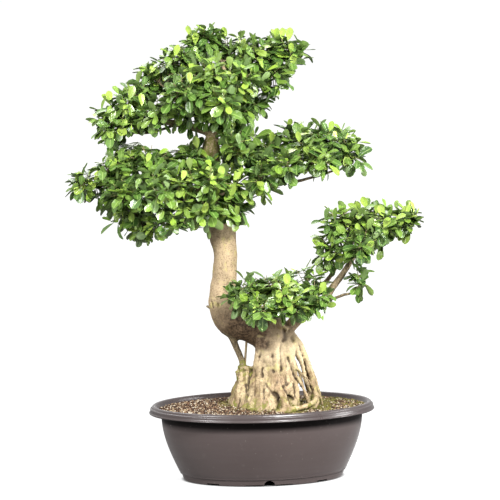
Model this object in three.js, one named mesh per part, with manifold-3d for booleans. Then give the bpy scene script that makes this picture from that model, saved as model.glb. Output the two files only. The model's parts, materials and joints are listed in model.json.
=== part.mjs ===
// Ficus bonsai in an oval training pot.
// Millimetres, +Z up. The origin is the middle of the pot's underside, on the surface that the pot
// stands on. X runs along the pot's length, and the tree is turned a little in its pot.

import * as THREE from 'three';
import { mergeVertices } from 'three/addons/utils/BufferGeometryUtils.js';
import Module from 'manifold-3d';

const wasm = await Module();
wasm.setup();

const { degToRad, lerp } = THREE.MathUtils;
const UP = new THREE.Vector3(0, 0, 1);

// Pot
const RIM_LENGTH = 510;
const RIM_WIDTH = 390;
const FOOT_LENGTH = 366;
const FOOT_WIDTH = 268;
const POT_HEIGHT = 169;
const RIM_BAND = 17;
const RIM_OVERHANG = 27.5;
const RIM_WIDTH_OVER_SOIL = 19;
// The rim's section: across from its outer edge, and up from the pot's top.
const RIM_SECTION = [[-6, -RIM_BAND - 1], [0, 3 - RIM_BAND], [-1, -7], [-9, 0]];
const UNDER_RIM_STEP = 6;
const FOOT_HEIGHT = 16;
const FOOT_FLARE = 2.5;
const FOOT_EDGE = 1;
const FOOT_RING = 8;
const LEDGE_WIDTH = 6;
const GROOVE_HEIGHT = 2;
const WALL_SHARES = [0.22, 0.55, 1];
const UNDERSIDE_RECESS = 11;
const CENTRE_PAD_RADIUS = 30;
const POT_WALL = 4;
const POT_FLOOR = 16;
const FLOOR_INSET = 5;
const POT_SIDES = 28;
const NOTCH_RADIUS = 13;
const NOTCH_SIDES = 12;
const SLOT_HEIGHT = 2;
const SLOT_FROM = 15;
const SLOT_TO = 53;
const DRAIN_RADIUS = 10;
const DRAIN_CIRCLE = 95;
const DRAIN_COUNT = 4;
const DRAIN_SIDES = 8;

// Soil
const SOIL_EDGE_HEIGHT = 161;
const SOIL_MOUND = 7;
const SOIL_RELIEF = 2;
const SOIL_RINGS = [0.78, 0.52, 0];
const BUMP_LENGTH = 23;
const BUMP_WIDTH = 19;
const RIPPLE_LENGTH = 11;
const RIPPLE_SHARE = 0.6;

// Clearance between pieces that touch
const GAP = 0.35;

// Tree: its turn in the pot, and its limbs as points x, y, z with the limb's radius there
const TREE_TURN = degToRad(-6);
const TRUNK = [
  [48, 20, 280, 45],
  [22, 18, 322, 45],
  [-14, 14, 346, 45],
  [-60, 8, 362, 44],
  [-79, 2, 392, 37],
  [-82, 0, 421, 31],
  [-79, 0, 453, 28],
  [-76, 0, 489, 26.3],
  [-76, 0, 516, 26.5],
  [-83, 0, 560, 31],
  [-92, 0, 622, 26],
  [-102, 2, 679, 20],
  [-103, 4, 741, 21],
  [-98, 5, 779, 13],
  [-88, 2, 813, 11],
  [-76, 0, 853, 9],
  [-66, -5, 893, 7],
  [-74, -5, 938, 4],
];
const COLUMN = [
  [42, 10, 352, 26],
  [34, 2, 326, 37],
  [30, -2, 296, 43],
  [29, -6, 262, 44],
  [25, -10, 228, 47],
  [18, -12, 194, 56],
  [10, -12, 164, 67],
  [8, -12, 144, 73],
];
const COLUMN_FLUTES = 7;
const COLUMN_FLUTE_DEPTH = 0.08;
const ROOTS = {
  rightOuter: [[66, 0, 326, 11], [84, 4, 303, 9], [95, 10, 280, 9], [103, 12, 258, 7], [113, 6, 222, 6],
    [120, -14, 188, 7], [122, -30, 172, 8], [108, -60, 146, 7]],
  rightBrown: [[100, 12, 272, 5], [119, 18, 222, 4], [134, 22, 172, 4.5], [138, 24, 148, 5]],
  rightFar: [[70, 26, 316, 12], [88, 36, 286, 10], [101, 46, 252, 9], [112, 60, 212, 9], [124, 78, 172, 10],
    [130, 86, 146, 10]],
  rightInner: [[74, -10, 305, 9], [90, -4, 262, 6], [98, -2, 226, 5.5], [108, -8, 186, 5.5],
    [110, -10, 146, 6]],
  rightTan: [[58, -22, 296, 8], [75, -24, 246, 5], [91, -26, 210, 4.5], [106, -34, 171, 4.5],
    [108, -36, 146, 4.5]],
  rightCross: [[60, -34, 271, 3], [92, -27, 237, 2.6], [126, -12, 188, 2.8], [140, -6, 150, 3.2]],
  rightLobe: [[50, -14, 306, 17], [63, -24, 262, 17], [52, -34, 216, 14]],
  lowRight: [[62, -20, 236, 11], [70, -36, 182, 13], [70, -42, 146, 13]],
  diagonal: [[76, -22, 236, 8], [46, -56, 190, 10]],
  frontKnuckle: [[34, -40, 222, 12], [48, -78, 184, 11], [62, -98, 146, 9]],
  frontSurface: [[30, -98, 157, 5], [62, -96, 166, 6], [85, -88, 168, 6], [103, -75, 171, 6],
    [121, -42, 184, 6.5], [122, -26, 176, 7]],
  plank: [[34, -34, 304, 10], [35, -44, 248, 12], [30, -46, 222, 11]],
  frontMiddle: [[22, -38, 222, 13], [14, -64, 170, 14], [12, -70, 146, 13]],
  frontLeft: [[2, -34, 214, 13], [-20, -58, 168, 14], [-26, -64, 146, 13]],
  leftLeg: [[-36, -6, 250, 16], [-35, -8, 222, 15], [-46, -12, 184, 21], [-52, -4, 146, 24]],
  legBehind: [[-44, 10, 226, 8], [-63, 18, 182, 9], [-70, 24, 146, 10]],
  leftBack: [[-18, 18, 215, 15], [-44, 42, 185, 14], [-76, 66, 146, 12]],
  backLeft: [[10, 25, 250, 18], [0, 55, 215, 16], [-15, 80, 180, 14], [-23, 97, 147, 12]],
  backRight: [[35, 25, 240, 16], [50, 60, 205, 15], [65, 85, 175, 13], [74, 98, 147, 11]],
  aerialStrut: [[-66, 6, 326, 10], [-57, 4, 300, 8.5], [-48, 0, 278, 7.5], [-38, -5, 244, 8.5]],
  aerialStrand: [[-31, 8, 318, 3], [-37, 0, 252, 3]],
};
const BRANCHES = {
  crownLeft: [[-100, 5, 779, 10], [-138, -5, 792, 9], [-175, -10, 802, 8], [-215, -15, 809, 6],
    [-250, -20, 817, 4], [-285, -22, 816, 3]],
  crownLow: [[-175, -10, 802, 3], [-216, -14, 789, 3], [-247, -16, 783, 3], [-276, -18, 784, 2.5]],
  crownUpperLeft: [[-90, 0, 810, 7], [-125, -30, 846, 6], [-173, -40, 874, 4], [-200, -35, 885, 3]],
  crownRight: [[-82, 0, 830, 7], [-40, 10, 856, 6], [5, 10, 891, 4], [40, 0, 920, 3]],
  crownLowRight: [[-95, 3, 800, 6], [-59, -25, 813, 4], [-35, -42, 822, 3]],
  crownBack: [[-86, 3, 820, 7], [-93, 55, 851, 5], [-105, 95, 885, 3]],
  crownFront: [[-86, 0, 820, 6], [-93, -55, 851, 5], [-96, -95, 875, 3]],
  left: [[-99, 0, 629, 11], [-141, -15, 640, 9], [-192, -25, 651, 8], [-241, -25, 656, 6],
    [-304, -20, 657, 4], [-345, -12, 667, 3]],
  leftLow: [[-196, -25, 651, 5], [-241, -40, 626, 4], [-285, -30, 610, 3]],
  leftFront: [[-96, -4, 634, 8], [-140, -50, 643, 6], [-165, -85, 648, 4]],
  leftBack: [[-96, 4, 632, 8], [-142, 55, 649, 6], [-185, 85, 656, 4]],
  right: [[-84, 0, 618, 12], [-31, -10, 640, 10], [19, -15, 664, 8], [61, -15, 679, 7],
    [107, -10, 693, 5], [150, -5, 708, 3]],
  rightLow: [[61, -15, 679, 4], [84, -12, 669, 4], [117, -8, 675, 3], [149, -5, 683, 3],
    [170, -2, 690, 2.5]],
  lowRight: [[50, -5, 322, 18], [66, -5, 340, 16], [96, -5, 366, 14], [144, -5, 399, 12],
    [165, -2, 426, 11], [183, 0, 448, 10], [197, 0, 468, 9], [209, 0, 488, 7], [228, 3, 512, 5],
    [252, 6, 530, 4], [275, 6, 541, 3]],
  lowInner: [[50, 10, 320, 13], [67, 15, 342, 11], [97, 22, 388, 9], [129, 25, 415, 8], [162, 28, 450, 7],
    [181, 28, 480, 5], [186, 24, 520, 3]],
  lowCentre: [[57, -20, 335, 8], [26, -50, 366, 6], [-5, -66, 386, 4]],
  lowFront: [[67, -15, 345, 7], [71, -50, 380, 5], [69, -68, 396, 4]],
  lowTwig: [[144, -5, 399, 4], [168, -12, 404, 3], [190, -16, 412, 3]],
};
const TRUNK_SIDES = 10;
const TRUNK_STEPS = 17;
const COLUMN_SIDES = 14;
const COLUMN_STEPS = 6;
const ROOT_SIDES = 5;
const THICK_BRANCH = 6.5;
const THICK_BRANCH_SIDES = 5;
const THIN_BRANCH_SIDES = 4;
const TWIG_SIDES = 3;
const TWIG_RADIUS = 3.4;
const TWIG_END_RADIUS = 2.6;
const BARE_TRUNK_POINTS = 11;
const TWIG_PLACES = 16;
const FIRST_TWIG_PLACE = 2;

// Leafy sprays: the middle of each, pad by pad
const PADS = {
  crown: [[-118, 0, 988], [-62, 45, 972], [-5, -35, 960], [48, 30, 968], [88, -10, 948],
    [-172, -30, 952], [-100, -115, 925], [-25, -110, 905], [44, -45, 905], [-228, 40, 910],
    [-165, -125, 880], [-70, -150, 850], [0, 50, 850], [-285, -25, 868], [-232, -70, 828],
    [-338, 15, 820], [-170, 120, 885], [-60, 135, 895], [-330, -25, 795]],
  left: [[-394, -5, 675], [-340, -30, 705], [-300, 45, 745], [-240, -60, 725], [-160, 30, 730],
    [-300, -90, 650], [-220, -130, 660], [-320, 35, 625], [-265, -20, 585], [-190, -110, 590],
    [-112, -110, 612], [-45, -45, 615], [-100, -125, 685], [-245, 120, 660]],
  right: [[-45, -65, 755], [15, 30, 750], [70, 60, 770], [138, -30, 772], [212, 0, 742],
    [65, -95, 716], [145, -85, 720], [110, 95, 725], [5, -95, 685]],
  lower: [[-46, -82, 427], [0, -135, 400], [15, -50, 450], [68, -120, 405], [125, -55, 412],
    [60, 80, 420]],
  outer: [[285, -40, 580], [326, 0, 568], [235, 45, 585], [172, -25, 583], [220, -75, 525],
    [275, 50, 540], [150, 0, 505], [228, -15, 440]],
};
const SPRAY_REACH = 40;
const STALK = 6;
const CORE_LENGTH = 52;
const CORE_RADIUS = 11;
const CORE_SIDES = 5;
const MOST_LEAVES = 7;
const LEAF_LENGTH = 48;
const LEAF_WIDTH = 25;
const LEAF_THICKNESS = 2;
const LEAF_CORNERS = 6;
const LEAF_MIDDLE_BREADTH = 0.78;
const LEAF_TIP_BREADTH = 0.34;
const LEAF_FOLD = 2.2;
const LEAF_DROOP = 5;
const LEAF_ROOT_FROM = 9;
const LEAF_ROOT_TO = 42;
const LEAF_ROOT_RADIUS = 4;
const PITCH_LOW = degToRad(80);
const PITCH_TOP = degToRad(24);
const PITCH_POWER = 1.2;
const GOLDEN_ANGLE = degToRad(137.5);
const FACE_UP = 0.6;
const CORE_CLEARANCE = 1;
const LEAF_CLEARANCE = 1.5;
const LEAF_SIZE_SPREAD = 0.1;
const LEAF_TRIES = 9;
const TRY_PITCH = 0.06;
const TRY_TURN = 0.14;
const TRY_SHRINK = 0.02;
const OUTER_FROM = 0.3;
const OUTER_SIZE = 0.7;
const SPRAY_TRIES = 14;
const TRY_SHIFT = 1.6;
const SCRAP_VOLUME = 20;

// A small seeded generator, so that every build grows the same tree.
let seed = 20318;
function random() {
  seed = (Math.imul(seed, 1664525) + 1013904223) >>> 0;
  return seed / 4294967296;
}

function jitter(span) {
  return (random() - 0.5) * 2 * span;
}

// A closed solid from a three.js geometry, with its seams merged and folded faces dropped.
function solid(geometry) {
  geometry.deleteAttribute('normal');
  geometry.deleteAttribute('uv');
  const merged = mergeVertices(geometry, 1e-4);
  const corners = merged.index.array;
  const kept = [];
  for (let i = 0; i < corners.length; i += 3) {
    const [a, b, c] = [corners[i], corners[i + 1], corners[i + 2]];
    if (a !== b && b !== c && c !== a) kept.push(a, b, c);
  }
  return new wasm.Manifold(new wasm.Mesh({
    numProp: 3,
    vertProperties: merged.getAttribute('position').array,
    triVerts: Uint32Array.from(kept),
  }));
}

function joined(solids) {
  return solids.reduce((whole, piece) => whole.add(piece));
}

// Hollows that joining sealed are filled, and loose scraps are dropped.
function filled(whole) {
  return joined(whole.decompose().filter((piece) => piece.volume() > SCRAP_VOLUME));
}

function sameSpace(a, b) {
  const first = a.boundingBox();
  const second = b.boundingBox();
  const overlaps = (axis) => first.min[axis] < second.max[axis] && second.min[axis] < first.max[axis];
  return [0, 1, 2].every(overlaps);
}

function isClear(piece, others) {
  return others.every((other) => !sameSpace(piece, other) || piece.intersect(other).isEmpty());
}

function mesh(name, shape, { color, roughness }) {
  const { vertProperties, triVerts } = shape.getMesh();
  const geometry = new THREE.BufferGeometry();
  geometry.setAttribute('position', new THREE.BufferAttribute(vertProperties, 3));
  geometry.setIndex(new THREE.BufferAttribute(triVerts, 1));
  geometry.computeVertexNormals();
  const material = new THREE.MeshStandardMaterial({ color, roughness, metalness: 0 });
  const result = new THREE.Mesh(geometry, material);
  result.name = name;
  return result;
}

const FINISHES = {
  plastic: { color: 0x5f5552, roughness: 0.5 },
  soil: { color: 0x6b4f38, roughness: 0.95 },
  bark: { color: 0xc2a67c, roughness: 0.85 },
  leaf: { color: 0x3c6e2d, roughness: 0.4 },
};

// Pot and soil are turned on a lathe and then squeezed to an oval, slimmer towards the middle.
const rimRatio = RIM_WIDTH / RIM_LENGTH;
const footRatio = FOOT_WIDTH / FOOT_LENGTH;
const ratioGrowth = (rimRatio - footRatio) / (RIM_LENGTH / 2 - FOOT_LENGTH / 2);

function ovalHalfWidth(halfLength) {
  return halfLength * (rimRatio + ratioGrowth * (halfLength - RIM_LENGTH / 2));
}

function ovalLathe(profile) {
  const points = profile.map(([radius, height]) => new THREE.Vector2(radius, height));
  const geometry = new THREE.LatheGeometry(points, POT_SIDES);
  geometry.rotateX(Math.PI / 2);
  const position = geometry.getAttribute('position');
  for (let i = 0; i < position.count; i += 1) {
    const [x, y] = [position.getX(i), position.getY(i)];
    const radius = Math.hypot(x, y);
    if (radius > 0) position.setY(i, (y * ovalHalfWidth(radius)) / radius);
  }
  return geometry;
}

const wallFoot = FOOT_LENGTH / 2 + LEDGE_WIDTH;
const wallTop = RIM_LENGTH / 2 - RIM_OVERHANG;
const wallFrom = FOOT_HEIGHT + GROOVE_HEIGHT;
const wallTo = POT_HEIGHT - RIM_BAND - UNDER_RIM_STEP;

// The wall swells out as a quarter sine from the foot band to the rim.
function wallRadius(height) {
  const rise = (height - wallFrom) / (wallTo - wallFrom);
  return wallFoot + (wallTop - wallFoot) * Math.sin((Math.PI / 2) * THREE.MathUtils.clamp(rise, 0, 1));
}

// Points up the inside of the wall, or of what stands a clearance inside it.
function innerWall(clearance) {
  const heights = [POT_FLOOR + POT_WALL, lerp(wallFrom, wallTo, 0.5), wallTo];
  return heights.map((height) => [wallRadius(height) - POT_WALL - clearance, height]);
}

function makePot() {
  const rim = RIM_LENGTH / 2;
  const foot = FOOT_LENGTH / 2;
  const wall = WALL_SHARES.map((share) => lerp(wallFrom, wallTo, share));
  const profile = [
    [0, 0], [CENTRE_PAD_RADIUS, 0], [CENTRE_PAD_RADIUS, UNDERSIDE_RECESS],
    [foot - FOOT_RING, UNDERSIDE_RECESS], [foot - FOOT_RING, 0], [foot - FOOT_EDGE, 0],
    [foot + FOOT_FLARE, FOOT_HEIGHT - FOOT_EDGE], [wallFoot, wallFrom],
    ...wall.map((height) => [wallRadius(height), height]),
    ...RIM_SECTION.map(([across, up]) => [rim + across, POT_HEIGHT + up]),
    [rim - RIM_WIDTH_OVER_SOIL, SOIL_EDGE_HEIGHT - 1],
    ...innerWall(0).reverse(),
    [foot - FLOOR_INSET, POT_FLOOR], [0, POT_FLOOR],
  ];
  let pot = solid(ovalLathe(profile));
  for (let quarter = 0; quarter < 4; quarter += 1) {
    const turn = (quarter * Math.PI) / 2;
    const reach = quarter % 2 === 0 ? FOOT_WIDTH / 2 : FOOT_LENGTH / 2;
    const notch = new THREE.CylinderGeometry(NOTCH_RADIUS, NOTCH_RADIUS, 3 * FOOT_RING, NOTCH_SIDES);
    notch.translate(0, -reach, 0).rotateZ(turn);
    pot = pot.subtract(solid(notch));
    for (const side of quarter % 2 === 0 ? [-1, 1] : []) {
      const slot = new THREE.BoxGeometry(SLOT_TO - SLOT_FROM, 3 * FOOT_RING, 2 * SLOT_HEIGHT);
      slot.translate((side * (SLOT_FROM + SLOT_TO)) / 2, -reach, 0).rotateZ(turn);
      pot = pot.subtract(solid(slot));
    }
  }
  for (let i = 0; i < DRAIN_COUNT; i += 1) {
    const turn = ((i + 0.5) * 2 * Math.PI) / DRAIN_COUNT;
    const drain = new THREE.CylinderGeometry(DRAIN_RADIUS, DRAIN_RADIUS, 4 * POT_FLOOR, DRAIN_SIDES);
    const x = DRAIN_CIRCLE * Math.cos(turn);
    drain.rotateX(Math.PI / 2).translate(x, footRatio * DRAIN_CIRCLE * Math.sin(turn), 0);
    pot = pot.subtract(solid(drain));
  }
  return pot;
}

// Soil fills the pot to just below the rim and rises towards the tree, with low bumps.
function makeSoil(rootSockets) {
  const edge = RIM_LENGTH / 2 - RIM_WIDTH_OVER_SOIL - GAP;
  const profile = [
    [0, POT_FLOOR + GAP], [FOOT_LENGTH / 2 - FLOOR_INSET - GAP, POT_FLOOR + GAP],
    ...innerWall(GAP),
    [edge, SOIL_EDGE_HEIGHT],
    ...SOIL_RINGS.map((share) => [edge * share, SOIL_EDGE_HEIGHT]),
  ];
  const geometry = ovalLathe(profile);
  const position = geometry.getAttribute('position');
  for (let i = 0; i < position.count; i += 1) {
    const [x, y, z] = [position.getX(i), position.getY(i), position.getZ(i)];
    const share = Math.hypot(x / edge, y / ovalHalfWidth(edge));
    if (z > SOIL_EDGE_HEIGHT - 0.1 && share < 0.95) {
      const bump = Math.sin(x / BUMP_LENGTH + 1) * Math.cos(y / BUMP_WIDTH);
      const relief = SOIL_RELIEF * (bump + RIPPLE_SHARE * Math.sin((x + y) / RIPPLE_LENGTH));
      position.setZ(i, z + SOIL_MOUND * (1 - share) + relief * (1 - share * share));
    }
  }
  geometry.rotateZ(-TREE_TURN);
  return filled(rootSockets.reduce((soil, socket) => soil.subtract(socket), solid(geometry)));
}

function limbCurve(points) {
  const places = points.map(([x, y, z]) => new THREE.Vector3(x, y, z));
  return new THREE.CatmullRomCurve3(places, false, 'centripetal');
}

function limbRadius(points, curve, share) {
  const along = curve.getUtoTmapping(share) * (points.length - 1);
  const before = Math.min(Math.floor(along), points.length - 2);
  return lerp(points[before][3], points[before + 1][3], along - before);
}

// A limb is a cylinder bent along its curve, as thick as its points say, with flat ends.
function makeLimb(points, sides, steps, { grow = 0, flutes = 0, fluteDepth = 0 } = {}) {
  const curve = limbCurve(points);
  const frames = curve.computeFrenetFrames(steps);
  const geometry = new THREE.CylinderGeometry(1, 1, 1, sides, steps);
  const position = geometry.getAttribute('position');
  for (let i = 0; i < position.count; i += 1) {
    const [x, y, z] = [position.getX(i), position.getY(i), position.getZ(i)];
    const step = Math.round((y + 0.5) * steps);
    const flute = 1 + fluteDepth * Math.cos(flutes * Math.atan2(z, x));
    const radius = limbRadius(points, curve, step / steps) * flute + grow;
    const place = curve.getPointAt(step / steps);
    place.addScaledVector(frames.normals[step], radius * x);
    place.addScaledVector(frames.binormals[step], -radius * z);
    if (step === 0) place.addScaledVector(frames.tangents[0], -grow);
    if (step === steps) place.addScaledVector(frames.tangents[steps], grow);
    position.setXYZ(i, place.x, place.y, place.z);
  }
  return solid(geometry);
}

// The column and roots that stand in the soil, also made a little thicker as the sockets for them.
function makeRootWork(grow) {
  const flutes = { flutes: COLUMN_FLUTES, fluteDepth: COLUMN_FLUTE_DEPTH };
  const column = makeLimb(COLUMN, COLUMN_SIDES, COLUMN_STEPS, { grow, ...flutes });
  const makeRoot = (points) => makeLimb(points, ROOT_SIDES, points.length - 1, { grow });
  return [column, ...Object.values(ROOTS).map(makeRoot)];
}

function makeLimbs() {
  const trunk = makeLimb(TRUNK, TRUNK_SIDES, TRUNK_STEPS);
  const branches = Object.values(BRANCHES).map((points) => {
    const sides = points[0][3] > THICK_BRANCH ? THICK_BRANCH_SIDES : THIN_BRANCH_SIDES;
    return makeLimb(points, sides, points.length);
  });
  return [trunk, ...branches];
}

// Places on the branches and the upper trunk where a twig can start.
function twigStarts() {
  const starts = [];
  for (const points of [TRUNK.slice(BARE_TRUNK_POINTS), ...Object.values(BRANCHES)]) {
    const curve = limbCurve(points);
    for (let i = FIRST_TWIG_PLACE; i <= TWIG_PLACES; i += 1) {
      const share = i / TWIG_PLACES;
      starts.push({ place: curve.getPointAt(share), radius: limbRadius(points, curve, share) });
    }
  }
  return starts;
}

// The geometry is moved so that its own Y runs along the axis and its Z points as near to face as it can.
function stand(geometry, place, axis, face) {
  const side = new THREE.Vector3().crossVectors(axis, face).normalize();
  const front = new THREE.Vector3().crossVectors(side, axis);
  return geometry.applyMatrix4(new THREE.Matrix4().makeBasis(side, axis, front).setPosition(place));
}

function anyNormal(axis) {
  const guide = Math.abs(axis.z) < 0.9 ? UP : new THREE.Vector3(1, 0, 0);
  return new THREE.Vector3().crossVectors(axis, guide).normalize();
}

// The dense middle of a spray, which its leaves stand out of.
function makeCore(spray, grow) {
  const cone = new THREE.ConeGeometry(CORE_RADIUS + grow, CORE_LENGTH + grow, CORE_SIDES);
  cone.translate(0, (CORE_LENGTH + grow) / 2, 0);
  return solid(stand(cone, spray.base, spray.axis, anyNormal(spray.axis)));
}

// A leaf is a sphere's ring and poles drawn out to an egg-shaped blade, broad near its blunt tip,
// folded along the midrib and drooping a little.
function makeLeaf(place, axis, face, size, grow) {
  const geometry = new THREE.SphereGeometry(1, LEAF_CORNERS, 2, Math.PI);
  const position = geometry.getAttribute('position');
  for (let i = 0; i < position.count; i += 1) {
    const [x, y, z] = [position.getX(i), position.getY(i), position.getZ(i)];
    const along = (1 + x) / 2;
    const halfWidth = (LEAF_WIDTH * size) / 2 + grow;
    const breadth = halfWidth * (LEAF_MIDDLE_BREADTH + LEAF_TIP_BREADTH * x);
    const thickness = LEAF_THICKNESS / 2 + grow / 2;
    const fold = LEAF_FOLD * (Math.abs(z) - 1) * (1 - Math.abs(x));
    position.setXYZ(
      i,
      breadth * z,
      along * (LEAF_LENGTH * size + grow),
      thickness * y + fold - LEAF_DROOP * along * along,
    );
  }
  return solid(stand(geometry, place, axis, face));
}

// A spray's place: its twig starts on the nearest limb, runs straight to the wanted middle and ends
// flat, and the spray sits on that end.
function planSpray(wanted, starts, spread) {
  const shift = new THREE.Vector3(jitter(spread), jitter(spread), jitter(spread));
  const middle = new THREE.Vector3(...wanted).add(shift);
  const distance = (start) => start.place.distanceTo(middle);
  const start = starts.reduce((best, other) => (distance(other) < distance(best) ? other : best));
  const axis = middle.clone().sub(start.place).normalize();
  const length = Math.max(distance(start) - SPRAY_REACH, start.radius + STALK);
  const end = start.place.clone().addScaledVector(axis, length);
  const points = [[...start.place.toArray(), TWIG_RADIUS], [...end.toArray(), TWIG_END_RADIUS]];
  return { twig: makeLimb(points, TWIG_SIDES, 1), axis, base: end.addScaledVector(axis, GAP) };
}

function growSprays(wood) {
  const starts = twigStarts();
  const sprays = [];
  for (const [pad, middles] of Object.entries(PADS)) {
    middles.forEach((middle, index) => {
      for (let attempt = 0; attempt < SPRAY_TRIES; attempt += 1) {
        const spray = planSpray(middle, starts, attempt * TRY_SHIFT);
        const guard = makeCore(spray, CORE_CLEARANCE);
        const twigs = sprays.map((other) => other.twig);
        const cores = sprays.map((other) => other.guard);
        if (isClear(guard, [...wood, ...twigs, ...cores]) && isClear(spray.twig, cores)) {
          const name = `${pad}_spray_${String(index + 1).padStart(2, '0')}`;
          sprays.push({ ...spray, guard, name, leaves: [] });
          return;
        }
      }
      throw new Error(`No room for spray ${index + 1} of the ${pad} pad`);
    });
  }
  return sprays;
}

// Each leaf takes the first of a few tries that is clear of everything but its own core.
function growLeaf(spray, share, turn, others) {
  for (let attempt = 0; attempt < LEAF_TRIES; attempt += 1) {
    const pitch = lerp(PITCH_LOW, PITCH_TOP, share ** PITCH_POWER) + jitter(TRY_PITCH * attempt);
    const around = turn + jitter(TRY_TURN * attempt);
    const radial = anyNormal(spray.axis).applyAxisAngle(spray.axis, around);
    const direction = spray.axis.clone().multiplyScalar(Math.cos(pitch));
    direction.addScaledVector(radial, Math.sin(pitch));
    const rise = lerp(LEAF_ROOT_FROM, LEAF_ROOT_TO, share);
    const root = spray.base.clone().addScaledVector(spray.axis, rise);
    root.addScaledVector(direction, LEAF_ROOT_RADIUS * (1 - share));
    const face = spray.axis.clone().addScaledVector(direction, -spray.axis.dot(direction)).normalize();
    face.addScaledVector(UP, FACE_UP).addScaledVector(direction, -FACE_UP * direction.z).normalize();
    const size = 1 + jitter(LEAF_SIZE_SPREAD) - TRY_SHRINK * attempt;
    const guard = makeLeaf(root, direction, face, size, LEAF_CLEARANCE);
    const leaf = makeLeaf(root, direction, face, size, 0);
    const outerRoot = root.clone().addScaledVector(direction, OUTER_FROM * LEAF_LENGTH);
    const outer = makeLeaf(outerRoot, direction, face, OUTER_SIZE * size, 0);
    if (isClear(guard, others) && isClear(outer, spray.leaves)) return leaf;
  }
  return null;
}

function growLeaves(sprays, wood) {
  const turns = sprays.map(() => random() * 2 * Math.PI);
  for (let i = 0; i < MOST_LEAVES; i += 1) {
    sprays.forEach((spray, index) => {
      const leafCount = MOST_LEAVES - (index % 2);
      if (i >= leafCount) return;
      const rest = sprays.filter((other) => other !== spray);
      const others = [...wood, ...sprays.map((other) => other.twig)];
      rest.forEach((other) => others.push(other.guard, ...other.leaves));
      const leaf = growLeaf(spray, i / (leafCount - 1), turns[index] + i * GOLDEN_ANGLE, others);
      if (leaf) spray.leaves.push(leaf);
    });
  }
}

const rootWork = makeRootWork(0);
const limbs = makeLimbs();
const wood = [...rootWork, ...limbs];
const sprays = growSprays(wood);
growLeaves(sprays, wood);

const tree = new THREE.Group();
tree.rotation.z = TREE_TURN;
const wholeWood = filled(joined([...wood, ...sprays.map((spray) => spray.twig)]));
tree.add(mesh('soil', makeSoil(makeRootWork(GAP)), FINISHES.soil));
tree.add(mesh('roots_trunk_branches', wholeWood, FINISHES.bark));
for (const spray of sprays) {
  tree.add(mesh(spray.name, filled(joined([makeCore(spray, 0), ...spray.leaves])), FINISHES.leaf));
}

const bonsai = new THREE.Group();
bonsai.add(mesh('pot', makePot(), FINISHES.plastic));
bonsai.add(tree);

export default bonsai;
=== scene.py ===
"""Dresses the ficus bonsai's fixed solids, the pot, soil, wood and leafy sprays, and makes the stage.

Everything is in metres in the part's own frame. Tables of the tree's limbs are in millimetres in the tree's
frame, which is turned a little in the pot.
"""

import json
import math
import random

import bmesh
import bpy
import numpy as np
from bpy.props import FloatProperty, FloatVectorProperty, IntProperty, PointerProperty
from mathutils import Matrix, Vector, noise

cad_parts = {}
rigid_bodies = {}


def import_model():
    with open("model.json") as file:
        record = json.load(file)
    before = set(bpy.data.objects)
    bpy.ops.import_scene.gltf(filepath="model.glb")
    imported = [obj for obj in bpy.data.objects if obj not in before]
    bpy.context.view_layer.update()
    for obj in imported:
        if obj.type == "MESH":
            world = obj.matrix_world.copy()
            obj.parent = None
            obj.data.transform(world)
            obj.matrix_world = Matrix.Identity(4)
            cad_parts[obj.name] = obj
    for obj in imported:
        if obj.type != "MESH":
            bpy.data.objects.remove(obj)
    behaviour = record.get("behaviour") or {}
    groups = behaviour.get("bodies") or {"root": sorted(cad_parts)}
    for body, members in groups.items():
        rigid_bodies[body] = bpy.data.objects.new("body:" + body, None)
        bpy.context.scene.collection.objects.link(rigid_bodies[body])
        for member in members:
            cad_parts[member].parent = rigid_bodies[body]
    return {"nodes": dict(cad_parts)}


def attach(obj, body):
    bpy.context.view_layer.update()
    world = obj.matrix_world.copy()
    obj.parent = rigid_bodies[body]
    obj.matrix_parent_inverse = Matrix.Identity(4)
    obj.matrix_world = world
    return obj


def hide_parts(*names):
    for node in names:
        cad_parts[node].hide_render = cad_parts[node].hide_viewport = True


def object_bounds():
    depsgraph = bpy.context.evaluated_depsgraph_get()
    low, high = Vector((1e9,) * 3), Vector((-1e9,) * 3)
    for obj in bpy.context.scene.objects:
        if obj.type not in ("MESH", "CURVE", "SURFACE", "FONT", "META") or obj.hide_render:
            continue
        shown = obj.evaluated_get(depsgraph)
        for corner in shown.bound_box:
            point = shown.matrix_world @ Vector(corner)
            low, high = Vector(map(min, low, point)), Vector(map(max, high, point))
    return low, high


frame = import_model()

bl_info = {
    "name": "Ficus bonsai maker",
    "version": (1, 0, 0),
    "blender": (4, 5, 0),
    "location": "3D View > Sidebar > Bonsai",
    "description": "Makes the pot, soil, wood and leaves of a ficus bonsai round its solids, and a stage",
    "category": "Object",
}

CAD_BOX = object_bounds()
MM = 0.001
TREE_TURN = Matrix.Rotation(math.radians(-6), 3, "Z")
TURN = np.array(TREE_TURN)

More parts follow.
